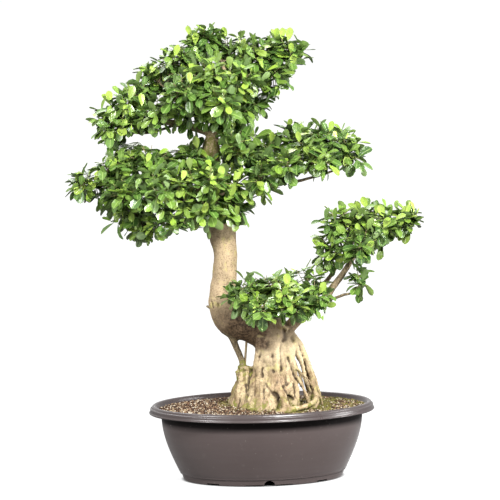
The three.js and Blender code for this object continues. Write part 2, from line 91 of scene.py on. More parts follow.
# The limbs: x, y, z and radius, point by point.
TRUNK = [
    (48, 20, 280, 45), (22, 18, 322, 45), (-14, 14, 346, 45), (-60, 8, 362, 44), (-79, 2, 392, 37),
    (-82, 0, 421, 31), (-79, 0, 453, 28), (-76, 0, 489, 26.3), (-76, 0, 516, 26.5), (-83, 0, 560, 31),
    (-92, 0, 622, 26), (-102, 2, 679, 20), (-103, 4, 741, 21), (-98, 5, 779, 13), (-88, 2, 813, 11),
    (-76, 0, 853, 9), (-66, -5, 893, 7), (-74, -5, 938, 4),
]
COLUMN = [
    (42, 10, 352, 26), (34, 2, 326, 36), (30, -2, 296, 42), (29, -6, 262, 43), (25, -10, 228, 46),
    (18, -12, 194, 54), (10, -12, 164, 64), (8, -12, 144, 70),
]
ROOTS = {
    "right_outer": [(66, 0, 326, 10), (84, 4, 303, 8.5), (95, 10, 280, 8), (103, 12, 258, 6.5),
                    (108, 12, 240, 5.8), (113, 6, 222, 5.5), (117, -4, 205, 6), (120, -14, 188, 7),
                    (122, -30, 172, 8), (116, -52, 166, 7), (108, -60, 146, 7)],
    "right_brown": [(100, 12, 272, 5), (112, 16, 245, 4.2), (119, 18, 222, 3.8), (127, 20, 196, 3.8),
                    (134, 22, 172, 4), (138, 24, 152, 5)],
    "right_far": [(70, 26, 316, 12), (88, 36, 286, 10), (101, 46, 252, 9), (112, 60, 212, 9),
                  (124, 78, 172, 10), (130, 86, 146, 10)],
    "right_inner": [(74, -10, 305, 9), (83, -6, 280, 7.5), (90, -4, 262, 6), (94, -2, 246, 5),
                    (98, -2, 226, 5), (103, -4, 203, 5), (108, -8, 186, 5), (110, -10, 150, 6)],
    "right_tan": [(58, -22, 296, 8), (70, -24, 270, 6), (75, -24, 246, 4.2), (82, -24, 226, 4),
                  (91, -26, 210, 4), (99, -30, 191, 4), (106, -34, 171, 4), (108, -36, 148, 4)],
    "right_cross": [(60, -34, 271, 2.6), (66, -35, 266, 2.3), (79, -32, 251, 2.2), (92, -27, 237, 2.2),
                    (106, -22, 221, 2.2), (115, -19, 205, 2.2), (126, -12, 188, 2.4), (134, -8, 172, 2.6),
                    (140, -6, 152, 3)],
    "right_lobe": [(50, -14, 306, 16), (62, -20, 284, 15), (63, -24, 262, 15), (60, -26, 240, 14),
                   (52, -34, 216, 13)],
    "diagonal": [(76, -22, 236, 7), (66, -34, 222, 8), (56, -46, 206, 9), (46, -56, 190, 9)],
    "low_right": [(62, -20, 236, 10), (70, -30, 208, 11), (70, -36, 182, 12), (70, -40, 160, 11),
                  (70, -42, 146, 11)],
    "front_knuckle": [(34, -40, 222, 11), (42, -60, 200, 10), (48, -78, 184, 9), (57, -92, 166, 8),
                      (62, -98, 148, 8)],
    "front_surface": [(30, -98, 158, 4), (40, -99, 163, 5), (62, -96, 166, 5.5), (85, -88, 168, 5.5),
                      (103, -75, 171, 5.5), (115, -60, 176, 6), (121, -42, 184, 6), (122, -26, 176, 7)],
    "thin_upright": [(84, -30, 206, 1.6), (85, -34, 186, 1.4), (85, -38, 164, 1.6), (85, -40, 150, 1.8)],
    "plank": [(34, -34, 304, 9), (37, -40, 276, 11), (35, -44, 248, 11), (30, -46, 222, 10)],
    "upper_ridge": [(0, -28, 322, 9), (-4, -27, 300, 8), (-7, -24, 276, 8), (-10, -22, 250, 8)],
    "boss": [(12, -40, 276, 8), (15, -41, 270, 9.5), (17, -40, 264, 8)],
    "front_middle": [(22, -38, 222, 12), (18, -53, 195, 12), (14, -64, 170, 13), (12, -70, 148, 12)],
    "front_left": [(2, -34, 214, 12), (-10, -48, 190, 13), (-20, -58, 168, 13), (-26, -64, 148, 12)],
    "left_leg": [(-37, -6, 252, 15), (-37, -6, 240, 15), (-36, -8, 222, 14.5), (-41, -12, 203, 17.5),
                 (-46, -12, 184, 20), (-50, -8, 166, 22), (-52, -4, 146, 23)],
    "stub_rim": [(-46, 2, 250, 4.5), (-48, -10, 251, 5), (-42, -18, 252, 4.5), (-32, -18, 250, 5),
                 (-24, -10, 250, 4.5)],
    "stub_fold": [(-44, -17, 246, 4), (-46, -19, 232, 4.5), (-47, -20, 216, 4)],
    "leg_behind": [(-44, 10, 226, 7), (-56, 14, 204, 7), (-63, 18, 182, 8), (-68, 22, 160, 9),
                   (-70, 24, 146, 9)],
    "left_back": [(-18, 18, 215, 15), (-44, 42, 185, 14), (-66, 60, 162, 13), (-76, 66, 147, 11)],
    "back_left": [(10, 25, 250, 18), (0, 55, 215, 16), (-15, 80, 180, 14), (-23, 97, 147, 12)],
    "back_right": [(35, 25, 240, 16), (50, 60, 205, 15), (65, 85, 175, 13), (74, 98, 147, 11)],
}
STRUT = [(-66, 6, 326, 10), (-57, 4, 300, 8), (-48, 0, 278, 7.3), (-41, -4, 258, 7.5), (-38, -5, 244, 8)]
STUB = (-42, -6, 240)
# Lumps of the stub's broken top.
KNOBS = [
    [(-50, -6, 222, 8), (-52, -6, 240, 6.5), (-50, -5, 250, 3)],
    [(-41, -14, 220, 9), (-39, -14, 236, 7.5), (-40, -12, 243, 4)],
    [(-33, 0, 220, 8), (-30, 1, 234, 6), (-27, 2, 241, 3)],
]
# Thin roots that cross the gap on the right.
GAP_ROOTS = [
    [(58, -24, 284, 3.2), (70, -26, 264, 2.8), (86, -22, 240, 2.6), (102, -16, 214, 2.8),
     (112, -10, 188, 3.2)],
    [(76, 0, 262, 2.8), (84, 2, 238, 2.4), (93, 4, 208, 2.6), (99, 2, 178, 3.2)],
]
STRAND = [(-31, 8, 318, 3), (-34, 4, 285, 2.6), (-37, 0, 252, 3)]
BRANCHES = {
    "crown_left": [(-100, 5, 779, 10), (-138, -5, 792, 9), (-175, -10, 802, 8), (-215, -15, 809, 6),
                   (-250, -20, 817, 4), (-285, -22, 816, 3)],
    "crown_low": [(-175, -10, 802, 3), (-216, -14, 789, 3), (-247, -16, 783, 3), (-276, -18, 784, 2.5)],
    "crown_upper_left": [(-90, 0, 810, 7), (-125, -30, 846, 6), (-173, -40, 874, 4), (-200, -35, 885, 3)],
    "crown_right": [(-82, 0, 830, 7), (-40, 10, 856, 6), (5, 10, 891, 4), (40, 0, 920, 3)],
    "crown_low_right": [(-95, 3, 800, 6), (-59, -25, 813, 4), (-35, -42, 822, 3)],
    "crown_back": [(-86, 3, 820, 7), (-93, 55, 851, 5), (-105, 95, 885, 3)],
    "crown_front": [(-86, 0, 820, 6), (-93, -55, 851, 5), (-96, -95, 875, 3)],
    "left": [(-99, 0, 629, 11), (-141, -15, 640, 9), (-192, -25, 651, 8), (-241, -25, 656, 6),
             (-304, -20, 657, 4), (-345, -12, 667, 3)],
    "left_low": [(-196, -25, 651, 5), (-241, -40, 626, 4), (-285, -30, 610, 3)],
    "left_front": [(-96, -4, 634, 8), (-140, -50, 643, 6), (-165, -85, 648, 4)],
    "left_back": [(-96, 4, 632, 8), (-142, 55, 649, 6), (-185, 85, 656, 4)],
    "right": [(-84, 0, 618, 12), (-31, -10, 640, 10), (19, -15, 664, 8), (61, -15, 679, 7),
              (107, -10, 693, 5), (150, -5, 708, 3)],
    "right_low": [(61, -15, 679, 4), (84, -12, 669, 4), (117, -8, 675, 3), (149, -5, 683, 3),
                  (170, -2, 690, 2.5)],
    "low_right": [(50, -5, 322, 18), (66, -5, 340, 15), (96, -5, 366, 12), (143, -5, 399, 10),
                  (163, -2, 426, 8.5), (181, 0, 448, 7.6), (195, 0, 468, 7), (208, 0, 488, 6),
                  (228, 3, 512, 5), (252, 6, 530, 4), (275, 6, 541, 3)],
    "low_inner": [(50, 10, 320, 13), (67, 15, 342, 10), (97, 22, 388, 8), (129, 25, 415, 6),
                  (160, 28, 450, 5.2), (179, 28, 480, 4.4), (186, 24, 520, 3)],
    "low_centre": [(57, -20, 335, 8), (26, -50, 366, 6), (-5, -66, 386, 4)],
    "low_front": [(67, -15, 345, 7), (71, -50, 380, 5), (69, -68, 396, 4)],
    "low_twig": [(144, -5, 399, 4), (168, -12, 404, 3), (190, -16, 412, 3)],
    "spur": [(-106, -4, 384, 4), (-116, -7, 389, 3.2), (-120, -8, 391, 2.2)],
}
# How the names of a pad's branches begin.
LIMB_NAMES = {"crown": "crown", "left": "left", "right": "right", "lower": "low", "outer": "low"}

# Creases and hollows in the front of the wood, carved and darkened with painted shade: a line of x and z, how
# deep, and how wide.
CREASES = [
    ([(45, 304), (44, 289), (45, 270), (46, 257)], 2.5, 2.2),
    ([(46, 257), (47, 250), (45, 246)], 4.5, 3.2),
    ([(3, 253), (1, 245), (2, 235)], 4, 3),
    ([(25, 248), (29, 245)], 3.5, 2.6),
    ([(42, 243), (44, 237)], 3, 2.2),
    ([(-8, 300), (-10, 293), (-8, 286)], 3, 2.2),
    ([(-24, 254), (-25, 240), (-28, 225), (-29, 209), (-33, 191), (-35, 179)], 3.2, 2.4),
    ([(61, 274), (64, 263), (67, 252), (71, 240), (76, 229), (82, 217), (87, 206)], 4, 2.2),
    ([(10, 220), (14, 211), (21, 204), (25, 198), (32, 191), (36, 184)], 4, 2.8),
    ([(28, 199), (34, 194), (37, 185)], 8, 4),
    ([(48, 212), (54, 202), (57, 193), (60, 185)], 4, 2.6),
    ([(55, 213), (62, 219), (66, 222)], 2.8, 2.0),
    ([(59, 188), (65, 185), (70, 183)], 7, 4),
    ([(52, 336), (57, 327), (57, 318), (52, 311)], 3.4, 6),
    ([(-35, 213), (-34, 202), (-37, 189), (-40, 179)], 3.5, 2.6),
    ([(-14, 247), (-14, 219), (-16, 192)], 2.0, 1.7),
    ([(-5, 228), (-4, 208), (-6, 190)], 2.0, 1.7),
    ([(6, 216), (4, 200), (5, 187)], 2.0, 1.7),
    ([(17, 207), (17, 193)], 2.0, 1.7),
    ([(71, 216), (74, 207), (76, 186)], 4, 2.4),
    ([(-109, 402), (-107, 394), (-105, 388)], 3, 1.9),
    ([(-94, 398), (-93, 394)], 3, 2.2),
    ([(-85, 491), (-85, 487)], 2.4, 2.0),
]


# More places where a pad's foliage grows, from the nearest twigs.
FILLING = {
    "crown": [(-150, -30, 822), (-277, -20, 806), (-60, -40, 824), (-100, -45, 832), (-126, 0, 980),
              (64, 0, 966)],
    "left": [(-200, -20, 700), (-165, -40, 692), (-152, -10, 722), (-99, -58, 700), (-138, -70, 668),
             (-60, -70, 655)],
    "right": [(-58, -10, 784), (-62, 20, 745), (-62, -20, 806), (-22, -55, 705), (172, -40, 762)],
    "lower": [(110, -66, 404), (40, -100, 432)],
    "outer": [(342, 0, 574)],
}
# Single shoots that stand out from a pad, by their tips.
STRAYS = {
    "crown": [(-130, 0, 1005), (-118, -12, 1008), (-105, 4, 1009), (-92, -6, 1007), (-124, 14, 1010),
              (-112, -20, 1011), (-100, 12, 1010), (-36, -20, 992), (44, 0, 988), (60, -20, 984),
              (100, -5, 974), (112, 10, 962), (-20, -40, 832), (-4, -30, 842)],
    "left": [(-406, -12, 670), (-410, 12, 682), (-402, -4, 694), (-328, -30, 588), (-120, -60, 572),
             (-142, -15, 752), (-132, -25, 743), (-58, -70, 692), (-44, -70, 674)],
    "right": [(26, -50, 652), (8, -60, 640), (232, -10, 704), (228, -30, 716), (150, -10, 788),
              (186, -20, 774)],
    "lower": [(66, -60, 460), (84, -40, 470), (98, -20, 469), (122, -30, 460), (138, -20, 450),
              (-32, -70, 454), (-16, -100, 450)],
    "outer": [(350, 0, 584), (330, -20, 586), (218, -20, 470), (228, 0, 462), (268, 0, 520),
              (230, -10, 602), (200, 0, 598)],
}
# Open places in front view where no leaf of a pad reaches: the middle's x and z, half width and half height.
OPENINGS = {
    "crown": [(-228, 759, 74, 12), (-262, 766, 36, 10), (-356, 738, 30, 17), (108, 904, 18, 22),
              (-102, 744, 18, 26), (38, 889, 8, 14), (5, 868, 10, 9)],
    "left": [(-228, 766, 72, 10), (-378, 742, 34, 18), (-200, 510, 100, 21), (-160, 533, 44, 22),
             (-5, 584, 14, 18), (-413, 712, 20, 12), (-102, 754, 16, 20)],
    "right": [(-102, 752, 16, 24)],
    "lower": [(22, 473, 28, 10)],
    "outer": [(110, 515, 8, 18), (308, 516, 28, 12), (266, 434, 10, 30), (358, 546, 16, 16)],
}
# Sprays that stand alone, and how far their shoots spread beside the others'.
LONE = {"outer_spray_08": 0.62}

# Where fresh bright leaves and yellow buds stand, each on the nearest shoot: x and z.
FRESH_LEAVES = {
    "crown": [(-149, 995), (-124, 972), (-184, 954), (-246, 916), (40, 990), (56, 982), (75, 947),
              (83, 929), (-145, 901), (-301, 835), (-330, 851), (-287, 788), (-61, 1000), (82, 967)],
    "left": [(-422, 678), (-245, 717), (-298, 635), (-182, 626), (-168, 664), (-187, 733), (-248, 560),
             (-135, 743), (-46, 701), (-28, 701), (-75, 635), (-51, 630), (-86, 682), (-68, 662)],
    "right": [(65, 804), (142, 804), (94, 779), (27, 775), (162, 773), (211, 761)],
    "lower": [(71, 444), (68, 365), (125, 386), (127, 408), (-54, 403)],
    "outer": [(246, 502), (220, 621), (240, 618), (260, 611), (275, 600), (342, 590), (355, 582),
              (288, 577), (228, 578)],
}
YELLOW_BUDS = {
    "crown": [(-213, 928), (-28, 879), (-167, 910)], "left": [(-292, 599), (-149, 604), (-290, 690)],
    "right": [(119, 738), (184, 744), (95, 741)], "lower": [(-4, 397)], "outer": [(192, 572), (253, 593)],
}


# Settings that a user would change

class PotSettings(bpy.types.PropertyGroup):
    rim_length: FloatProperty(name="Rim length", description="Length over the rim", default=0.510,
                              unit="LENGTH")
    rim_width: FloatProperty(name="Rim width", description="Width over the rim", default=0.390,
                             unit="LENGTH")
    foot_length: FloatProperty(name="Foot length", description="Length over the foot", default=0.366,
                               unit="LENGTH")
    foot_width: FloatProperty(name="Foot width", description="Width over the foot", default=0.268,
                              unit="LENGTH")
    height: FloatProperty(name="Height", description="Height of the rim's top", default=0.169,
                          unit="LENGTH")
    colour: FloatVectorProperty(name="Plastic", description="Colour of the plastic",
                                default=(0.049, 0.036, 0.034), subtype="COLOR", size=3)


class SoilSettings(bpy.types.PropertyGroup):
    grain: FloatProperty(name="Grain", description="Usual size of a soil grain", default=0.0044,
                         unit="LENGTH")
    spacing: FloatProperty(name="Spacing", description="Least distance between grains", default=0.0038,
                           unit="LENGTH")
    seed: IntProperty(name="Seed", description="Seed of the scatter", default=11)


class WoodSettings(bpy.types.PropertyGroup):
    skin: FloatProperty(name="Skin", description="Size of a face of the bark", default=0.00236,
                        unit="LENGTH")
    relief: FloatProperty(name="Relief", description="Depth of the bark's ribs on the root column",
                          default=0.0045, unit="LENGTH")
    colour: FloatVectorProperty(name="Bark", description="Colour of the trunk's bark",
                                default=(0.405, 0.305, 0.185), subtype="COLOR", size=3)


class SpraySettings(bpy.types.PropertyGroup):
    leaf_length: FloatProperty(name="Leaf length", description="Usual length of a leaf with its stalk",
                               default=0.0375, unit="LENGTH")
    shoot_spacing: FloatProperty(name="Shoot spacing", description="Least distance between shoot tips",
                                 default=0.0235, unit="LENGTH")
    reach: FloatProperty(name="Reach", description="How far shoot tips stand from a spray's middle",
                         default=0.025, unit="LENGTH")
    seed: IntProperty(name="Seed", description="Seed of the growth", default=7)


class StageSettings(bpy.types.PropertyGroup):
    floor_size: FloatProperty(name="Floor", description="Side of the floor", default=60.0, unit="LENGTH")
    key_power: FloatProperty(name="Key light", description="Strength of the main light", default=330.0)
    horizon: FloatProperty(name="Walls", description="Strength of the light from the studio's walls",
                           default=0.32)
    ceiling: FloatProperty(name="Ceiling", description="Strength of the light from the ceiling", default=0.75)


# Node helpers

def add_node(tree, kind, inputs=None, **settings):
    """A node with its settings, and its inputs set or linked by name or number."""
    made = tree.nodes.new(kind)
    for name, value in settings.items():
        setattr(made, name, value)
    for key, value in (inputs or {}).items():
        if isinstance(value, bpy.types.NodeSocket):
            tree.links.new(value, made.inputs[key])
        else:
            made.inputs[key].default_value = value
    return made


def new_material(name):
    """A material with its principled shader: (material, tree, shader)."""
    material = bpy.data.materials.new(name)
    material.use_nodes = True
    tree = material.node_tree
    tree.nodes.clear()
    shader = add_node(tree, "ShaderNodeBsdfPrincipled")
    add_node(tree, "ShaderNodeOutputMaterial", {"Surface": shader.outputs[0]})
    return material, tree, shader


def colour(*rgb):
    return (*rgb, 1.0)


def mix(tree, factor, first, second):
    """The colour between two."""
    made = add_node(tree, "ShaderNodeMix", data_type="RGBA")
    for index, value in ((0, factor), (6, first), (7, second)):
        if isinstance(value, bpy.types.NodeSocket):
            tree.links.new(value, made.inputs[index])
        else:
            made.inputs[index].default_value = value
    return made.outputs[2]


def ramp(tree, value, stops, interpolation="LINEAR"):
    """A colour ramp with stops of (place, colour)."""
    made = add_node(tree, "ShaderNodeValToRGB", {"Fac": value})
    made.color_ramp.interpolation = interpolation
    elements = made.color_ramp.elements
    while len(elements) < len(stops):
        elements.new(1.0)
    for element, (place, shade) in zip(elements, stops):
        element.position = place
        element.color = shade
    return made.outputs["Color"]


def spread(tree, value, low, high, to_low=0.0, to_high=1.0):
    """The value mapped from one range to another, held at its ends."""
    return add_node(tree, "ShaderNodeMapRange", {0: value, 1: low, 2: high, 3: to_low, 4: to_high}).outputs[0]


def maths(tree, operation, first, second=0.0):
    return add_node(tree, "ShaderNodeMath", {0: first, 1: second}, operation=operation).outputs[0]


def places(tree, stretch=(1, 1, 1)):
    """Object coordinates, stretched."""
    source = add_node(tree, "ShaderNodeTexCoord").outputs["Object"]
    return add_node(tree, "ShaderNodeMapping", {"Vector": source, "Scale": stretch}).outputs[0]


def cloud(tree, vector, scale, detail=3.0, roughness=0.55):
    return add_node(tree, "ShaderNodeTexNoise", {"Vector": vector, "Scale": scale, "Detail": detail,
                                                 "Roughness": roughness}).outputs["Fac"]


def bump(tree, height, strength, distance, normal=None):
    inputs = {"Height": height, "Strength": strength, "Distance": distance}
    if normal is not None:
        inputs["Normal"] = normal
    return add_node(tree, "ShaderNodeBump", inputs).outputs[0]


def attribute(tree, name):
    return add_node(tree, "ShaderNodeAttribute", attribute_name=name).outputs["Fac"]


# Mesh helpers

def new_object(name, mesh, *materials):
    for material in materials:
        mesh.materials.append(material)
    made = bpy.data.objects.new(name, mesh)
    bpy.context.scene.collection.objects.link(made)
    return made


def store(mesh, name, values, kind="FLOAT"):
    """Keeps values on a mesh, one for each point."""
    layer = mesh.attributes.new(name, kind, "POINT")
    field = "vector" if kind == "FLOAT_VECTOR" else "value"
    layer.data.foreach_set(field, np.asarray(values, np.int32 if kind == "INT" else np.float32).ravel())


def positions(mesh):
    flat = np.zeros(len(mesh.vertices) * 3, np.float32)
    mesh.vertices.foreach_get("co", flat)
    return flat.reshape(-1, 3).astype(float)


def normals(mesh):
    flat = np.zeros(len(mesh.vertices) * 3, np.float32)
    mesh.vertex_normals.foreach_get("vector", flat)
    return flat.reshape(-1, 3).astype(float)


def place_points(mesh, points):
    mesh.vertices.foreach_set("co", points.astype(np.float32).ravel())
    mesh.update()


def finished(source, name):
    """The source with its modifiers made into a plain mesh, as a new object; the source goes."""
    depsgraph = bpy.context.evaluated_depsgraph_get()
    mesh = bpy.data.meshes.new_from_object(source.evaluated_get(depsgraph))
    mesh.name = name
    old = source.data
    bpy.data.objects.remove(source)
    bpy.data.meshes.remove(old)
    made = bpy.data.objects.new(name, mesh)
    bpy.context.scene.collection.objects.link(made)
    return made


def run_nodes(source, tree, name, **values):
    """Runs a geometry tree on the source, its inputs set by their identifiers, and keeps the result."""
    modifier = source.modifiers.new("nodes", "NODES")
    modifier.node_group = tree
    sockets = {item.name: item.identifier for item in tree.interface.items_tree if item.item_type == "SOCKET"}
    for key, value in values.items():
        modifier[sockets[key.replace("_", " ").capitalize()]] = value
    return finished(source, name)


def smooth(mesh):
    mesh.polygons.foreach_set("use_smooth", np.ones(len(mesh.polygons), bool))


def soften(points, edges, rounds, share=0.5):
    """Points drawn towards the mean of their neighbours."""
    count = np.bincount(edges.ravel(), minlength=len(points))[:, None].clip(1)
    for _ in range(rounds):
        total = np.stack([
            np.bincount(edges[:, 0], points[edges[:, 1], axis], len(points))
            + np.bincount(edges[:, 1], points[edges[:, 0], axis], len(points)) for axis in range(3)], axis=1)
        points = points + share * (total / count - points)
    return points


def piece(made, slot, *nodes):
    """The finished piece rides on the part's one body and stands for its solids."""
    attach(made, "root")
    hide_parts(*nodes)


# Pot

def oval(settings, half_length):
    """Half the pot's width where half its length is given; slimmer towards the foot."""
    rim_ratio = settings.rim_width / settings.rim_length
    foot_ratio = settings.foot_width / settings.foot_length
    growth = (rim_ratio - foot_ratio) / ((settings.rim_length - settings.foot_length) / 2)
    return half_length * (rim_ratio + growth * (half_length - settings.rim_length / 2))


# The pot's section, its notches and its drain holes.
RIM_BAND = 0.017
RIM_OVERHANG = 0.0275
FOOT_HEIGHT = 0.016
LEDGE = 0.006
WALL_FROM = FOOT_HEIGHT + 0.002
UNDER_RIM = 0.006
POT_WALL = 0.004
POT_FLOOR = 0.016
RECESS = 0.011
SOIL_EDGE = 0.161
SOIL_INSET = 0.019
CLEARANCE = 0.00035
PAD_RADIUS = 0.030
NOTCH_RADIUS = 0.013
CUT_DEPTH = 0.024
SLOT = (0.038, CUT_DEPTH, 0.0065)
SLOT_OFFSET = 0.034
FOOT_GAP = (0.030, CUT_DEPTH, 0.009)
FOOT_GAP_TURNS = (0.83, 2.31, 3.97, 5.45)
DRAIN_RADIUS = 0.010
DRAIN_OUT = 0.095
# Heights below the top over which the painted shadow under the rim fades in.
RIM_SHADOW_BAND = (0.047, 0.033)


def wall_radius(settings, height):
    top = settings.rim_length / 2 - RIM_OVERHANG
    foot = settings.foot_length / 2 + LEDGE
    to = settings.height - RIM_BAND - UNDER_RIM
    rise = min(max((height - WALL_FROM) / (to - WALL_FROM), 0), 1)
    return foot + (top - foot) * math.sin(math.pi / 2 * rise)


def pot_section(settings):
    """The pot's section from the middle of its underside, out, up and back in over the rim."""
    rim = settings.rim_length / 2
    foot = settings.foot_length / 2
    top = settings.height
    to = top - RIM_BAND - UNDER_RIM
    wall = [(wall_radius(settings, h), h) for h in np.linspace(WALL_FROM + 0.002, to, 22)]
    inner = [(wall_radius(settings, h) - POT_WALL, h) for h in np.linspace(to, WALL_FROM + 0.002, 14)]
    return [
        (0, 0), (PAD_RADIUS - 0.001, 0), (PAD_RADIUS, 0.001), (PAD_RADIUS, RECESS),
        (foot - 0.012, RECESS), (foot - 0.011, RECESS - 0.001),
        (foot - 0.011, 0.0008), (foot - 0.0102, 0), (foot - 0.0042, 0), (foot - 0.0028, 0.0006),
        (foot - 0.0020, 0.002), (foot - 0.0002, 0.008), (foot + 0.0010, 0.0134), (foot + 0.0016, 0.0142),
        (foot + 0.0036, 0.0146), (foot + 0.0046, 0.0152), (foot + 0.0050, 0.0164), (foot + 0.0053, 0.0180),
        (foot + 0.0060, 0.0188), *wall,
        (rim - RIM_OVERHANG + 0.0012, to + 0.0022), (rim - 0.0225, top - 0.0196),
        (rim - 0.0130, top - 0.0190),
        (rim - 0.0040, top - 0.0187), (rim - 0.0016, top - 0.0184), (rim - 0.0004, top - 0.0176),
        (rim, top - 0.0164), (rim - 0.0004, top - 0.0152), (rim - 0.0014, top - 0.0144),
        (rim - 0.0022, top - 0.0134), (rim - 0.0025, top - 0.0110), (rim - 0.0026, top - 0.0076),
        (rim - 0.0030, top - 0.0066), (rim - 0.0038, top - 0.0060), (rim - 0.0052, top - 0.0056),
        (rim - 0.0060, top - 0.0048), (rim - 0.0064, top - 0.0036), (rim - 0.0074, top - 0.0016),
        (rim - 0.0092, top - 0.0003), (rim - 0.0112, top), (rim - 0.0132, top - 0.0004),
        (rim - 0.0148, top - 0.0016), (rim - 0.0162, top - 0.0038), (rim - 0.0174, top - 0.0066),
        (rim - 0.0186, top - 0.0094), (rim - 0.0205, top - 0.0125), (rim - 0.0245, top - 0.0165), *inner,
        (foot - 0.004, POT_FLOOR + 0.0006), (foot - 0.006, POT_FLOOR), (0.06, POT_FLOOR), (0, POT_FLOOR),
    ]


def oval_lathe(settings, section, sides):
    """A closed oval turning of the section, whose first and last points are on the axis."""
    points, faces = [], []
    rows = []
    for radius, height in section:
        if radius == 0:
            rows.append([len(points)])
            points.append((0, 0, height))
            continue
        rows.append(list(range(len(points), len(points) + sides)))
        for step in range(sides):
            turn = 2 * math.pi * step / sides
            points.append((radius * math.cos(turn), oval(settings, radius) * math.sin(turn), height))
    for low, high in zip(rows, rows[1:]):
        for step in range(sides):
            after = (step + 1) % sides
            if len(low) == 1:
                faces.append((low[0], high[after], high[step]))
            elif len(high) == 1:
                faces.append((low[step], low[after], high[0]))
            else:
                faces.append((low[step], low[after], high[after], high[step]))
    mesh = bpy.data.meshes.new("lathe")
    mesh.from_pydata(points, [], faces)
    return mesh


def cut(target, cutters):
    """Cutters taken out of the target, in one exact boolean, and removed."""
    for cutter in cutters:
        modifier = target.modifiers.new("cut", "BOOLEAN")
        modifier.object = cutter
        modifier.solver = "EXACT"
    name = target.name
    made = finished(target, name)
    for cutter in cutters:
        mesh = cutter.data
        bpy.data.objects.remove(cutter)
        bpy.data.meshes.remove(mesh)
    return made


def cylinder(radius, depth, sides, matrix):
    mesh = bpy.data.meshes.new("cutter")
    shape = bmesh.new()
    bmesh.ops.create_cone(shape, cap_ends=True, segments=sides, radius1=radius, radius2=radius, depth=depth,
                          matrix=matrix)
    shape.to_mesh(mesh)
    shape.free()
    return new_object("cutter", mesh)


def block(size, matrix):
    mesh = bpy.data.meshes.new("cutter")
    shape = bmesh.new()
    bmesh.ops.create_cube(shape, size=1.0, matrix=matrix @ Matrix.Diagonal((*size, 1)))
    shape.to_mesh(mesh)
    shape.free()
    return new_object("cutter", mesh)


def plastic_material(settings):
    """Satin plastic with flow marks and a little dust, glossier on the rim, with a painted shadow under the
    rim.
    """
    material, tree, shader = new_material("satin_brown_plastic")
    here = places(tree)
    height = add_node(tree, "ShaderNodeSeparateXYZ", {0: here}).outputs[2]
    base = colour(*settings.colour)
    mottled = mix(tree, cloud(tree, here, 9.0, 4.0), base, colour(*(c * 1.28 for c in settings.colour)))
    streaks = cloud(tree, places(tree, (3, 3, 40)), 2.2, 2.0)
    flowed = mix(tree, spread(tree, streaks, 0.45, 0.75, 0.0, 0.35), mottled, colour(0.066, 0.052, 0.050))
    rim = spread(tree, height, settings.height - RIM_BAND - 0.002, settings.height - RIM_BAND + 0.001)
    rimmed = mix(tree, rim, flowed, colour(0.042, 0.031, 0.030))
    # Painted shadow: a near-black band just under the rim.
    dark = spread(tree, height, settings.height - RIM_SHADOW_BAND[0], settings.height - RIM_SHADOW_BAND[1], 0.0, 0.93)
    dark = maths(tree, "MULTIPLY", dark, maths(tree, "LESS_THAN", height, settings.height - RIM_BAND))
    rimmed = mix(tree, dark, rimmed, colour(0.004, 0.003, 0.003))
    dust = spread(tree, cloud(tree, here, 60.0, 6.0, 0.7), 0.60, 0.78, 0.0, 0.22)
    dusty = mix(tree, dust, rimmed, colour(0.15, 0.13, 0.12))
    specks = spread(tree, cloud(tree, here, 230.0, 1.0), 0.775, 0.80, 0.0, 0.6)
    shader_colour = mix(tree, specks, dusty, colour(0.34, 0.31, 0.28))
    tree.links.new(shader_colour, shader.inputs["Base Color"])
    rough = cloud(tree, here, 25.0, 3.0)
    glossy_rim = maths(tree, "MULTIPLY", rim, -0.07)
    rough = maths(tree, "ADD", spread(tree, rough, 0.3, 0.7, 0.32, 0.42), glossy_rim)
    tree.links.new(rough, shader.inputs["Roughness"])
    grain = bump(tree, cloud(tree, here, 900.0, 2.0), 0.10, 0.0004)
    tree.links.new(bump(tree, cloud(tree, here, 30.0, 2.0), 0.12, 0.002, grain), shader.inputs["Normal"])
    # Less shine and sheen in the painted shadow under the rim.
    tree.links.new(spread(tree, dark, 0.0, 1.0, 0.55, 0.03), shader.inputs["Specular IOR Level"])
    tree.links.new(spread(tree, dark, 0.0, 1.0, 0.16, 0.0), shader.inputs["Sheen Weight"])
    shader.inputs["Sheen Roughness"].default_value = 0.45
    return material


class MakePot(bpy.types.Operator):
    """Makes the oval pot with its rolled rim, foot band, arched notches and drains"""
    bl_idname = "bonsai.make_pot"
    bl_label = "Make the pot"

    def execute(self, context):
        settings = context.scene.bonsai_pot
        pot = new_object("oval_pot", oval_lathe(settings, pot_section(settings), 176),
                         plastic_material(settings))
        flat = Matrix.Rotation(math.pi / 2, 4, "X")
        cutters = []
        for quarter in range(4):
            half = (settings.foot_width if quarter % 2 == 0 else settings.foot_length) / 2
            turn = Matrix.Rotation(quarter * math.pi / 2, 4, "Z")
            at = turn @ Matrix.Translation((0, -half, 0))
            cutters.append(cylinder(NOTCH_RADIUS, CUT_DEPTH, 32, at @ flat))
            for side in (-1, 1) if quarter % 2 == 0 else ():
                cutters.append(block(SLOT, turn @ Matrix.Translation((side * SLOT_OFFSET, -half, 0))))
        foot = settings.foot_length / 2
        for turn in FOOT_GAP_TURNS:
            x, y = foot * math.cos(turn), oval(settings, foot) * math.sin(turn)
            along = math.atan2(oval(settings, foot) * math.cos(turn), -foot * math.sin(turn))
            cutters.append(block(FOOT_GAP, Matrix.Translation((x, y, 0)) @ Matrix.Rotation(along, 4, "Z")))
        for index in range(4):
            turn = (index + 0.5) * math.pi / 2
            x = DRAIN_OUT * math.cos(turn)
            y = DRAIN_OUT * settings.foot_width / settings.foot_length * math.sin(turn)
            cutters.append(cylinder(DRAIN_RADIUS, 0.06, 28, Matrix.Translation((x, y, 0.01))))
        pot = cut(pot, cutters)
        smooth(pot.data)
        pot.data.set_sharp_from_angle(angle=math.radians(38))
        piece(pot, "pot", "pot")
        return {"FINISHED"}


# Limbs

RIBS = 30
RIB_SEED = 41
ROOT_ENDS = 144
THICK_LIMB = 6


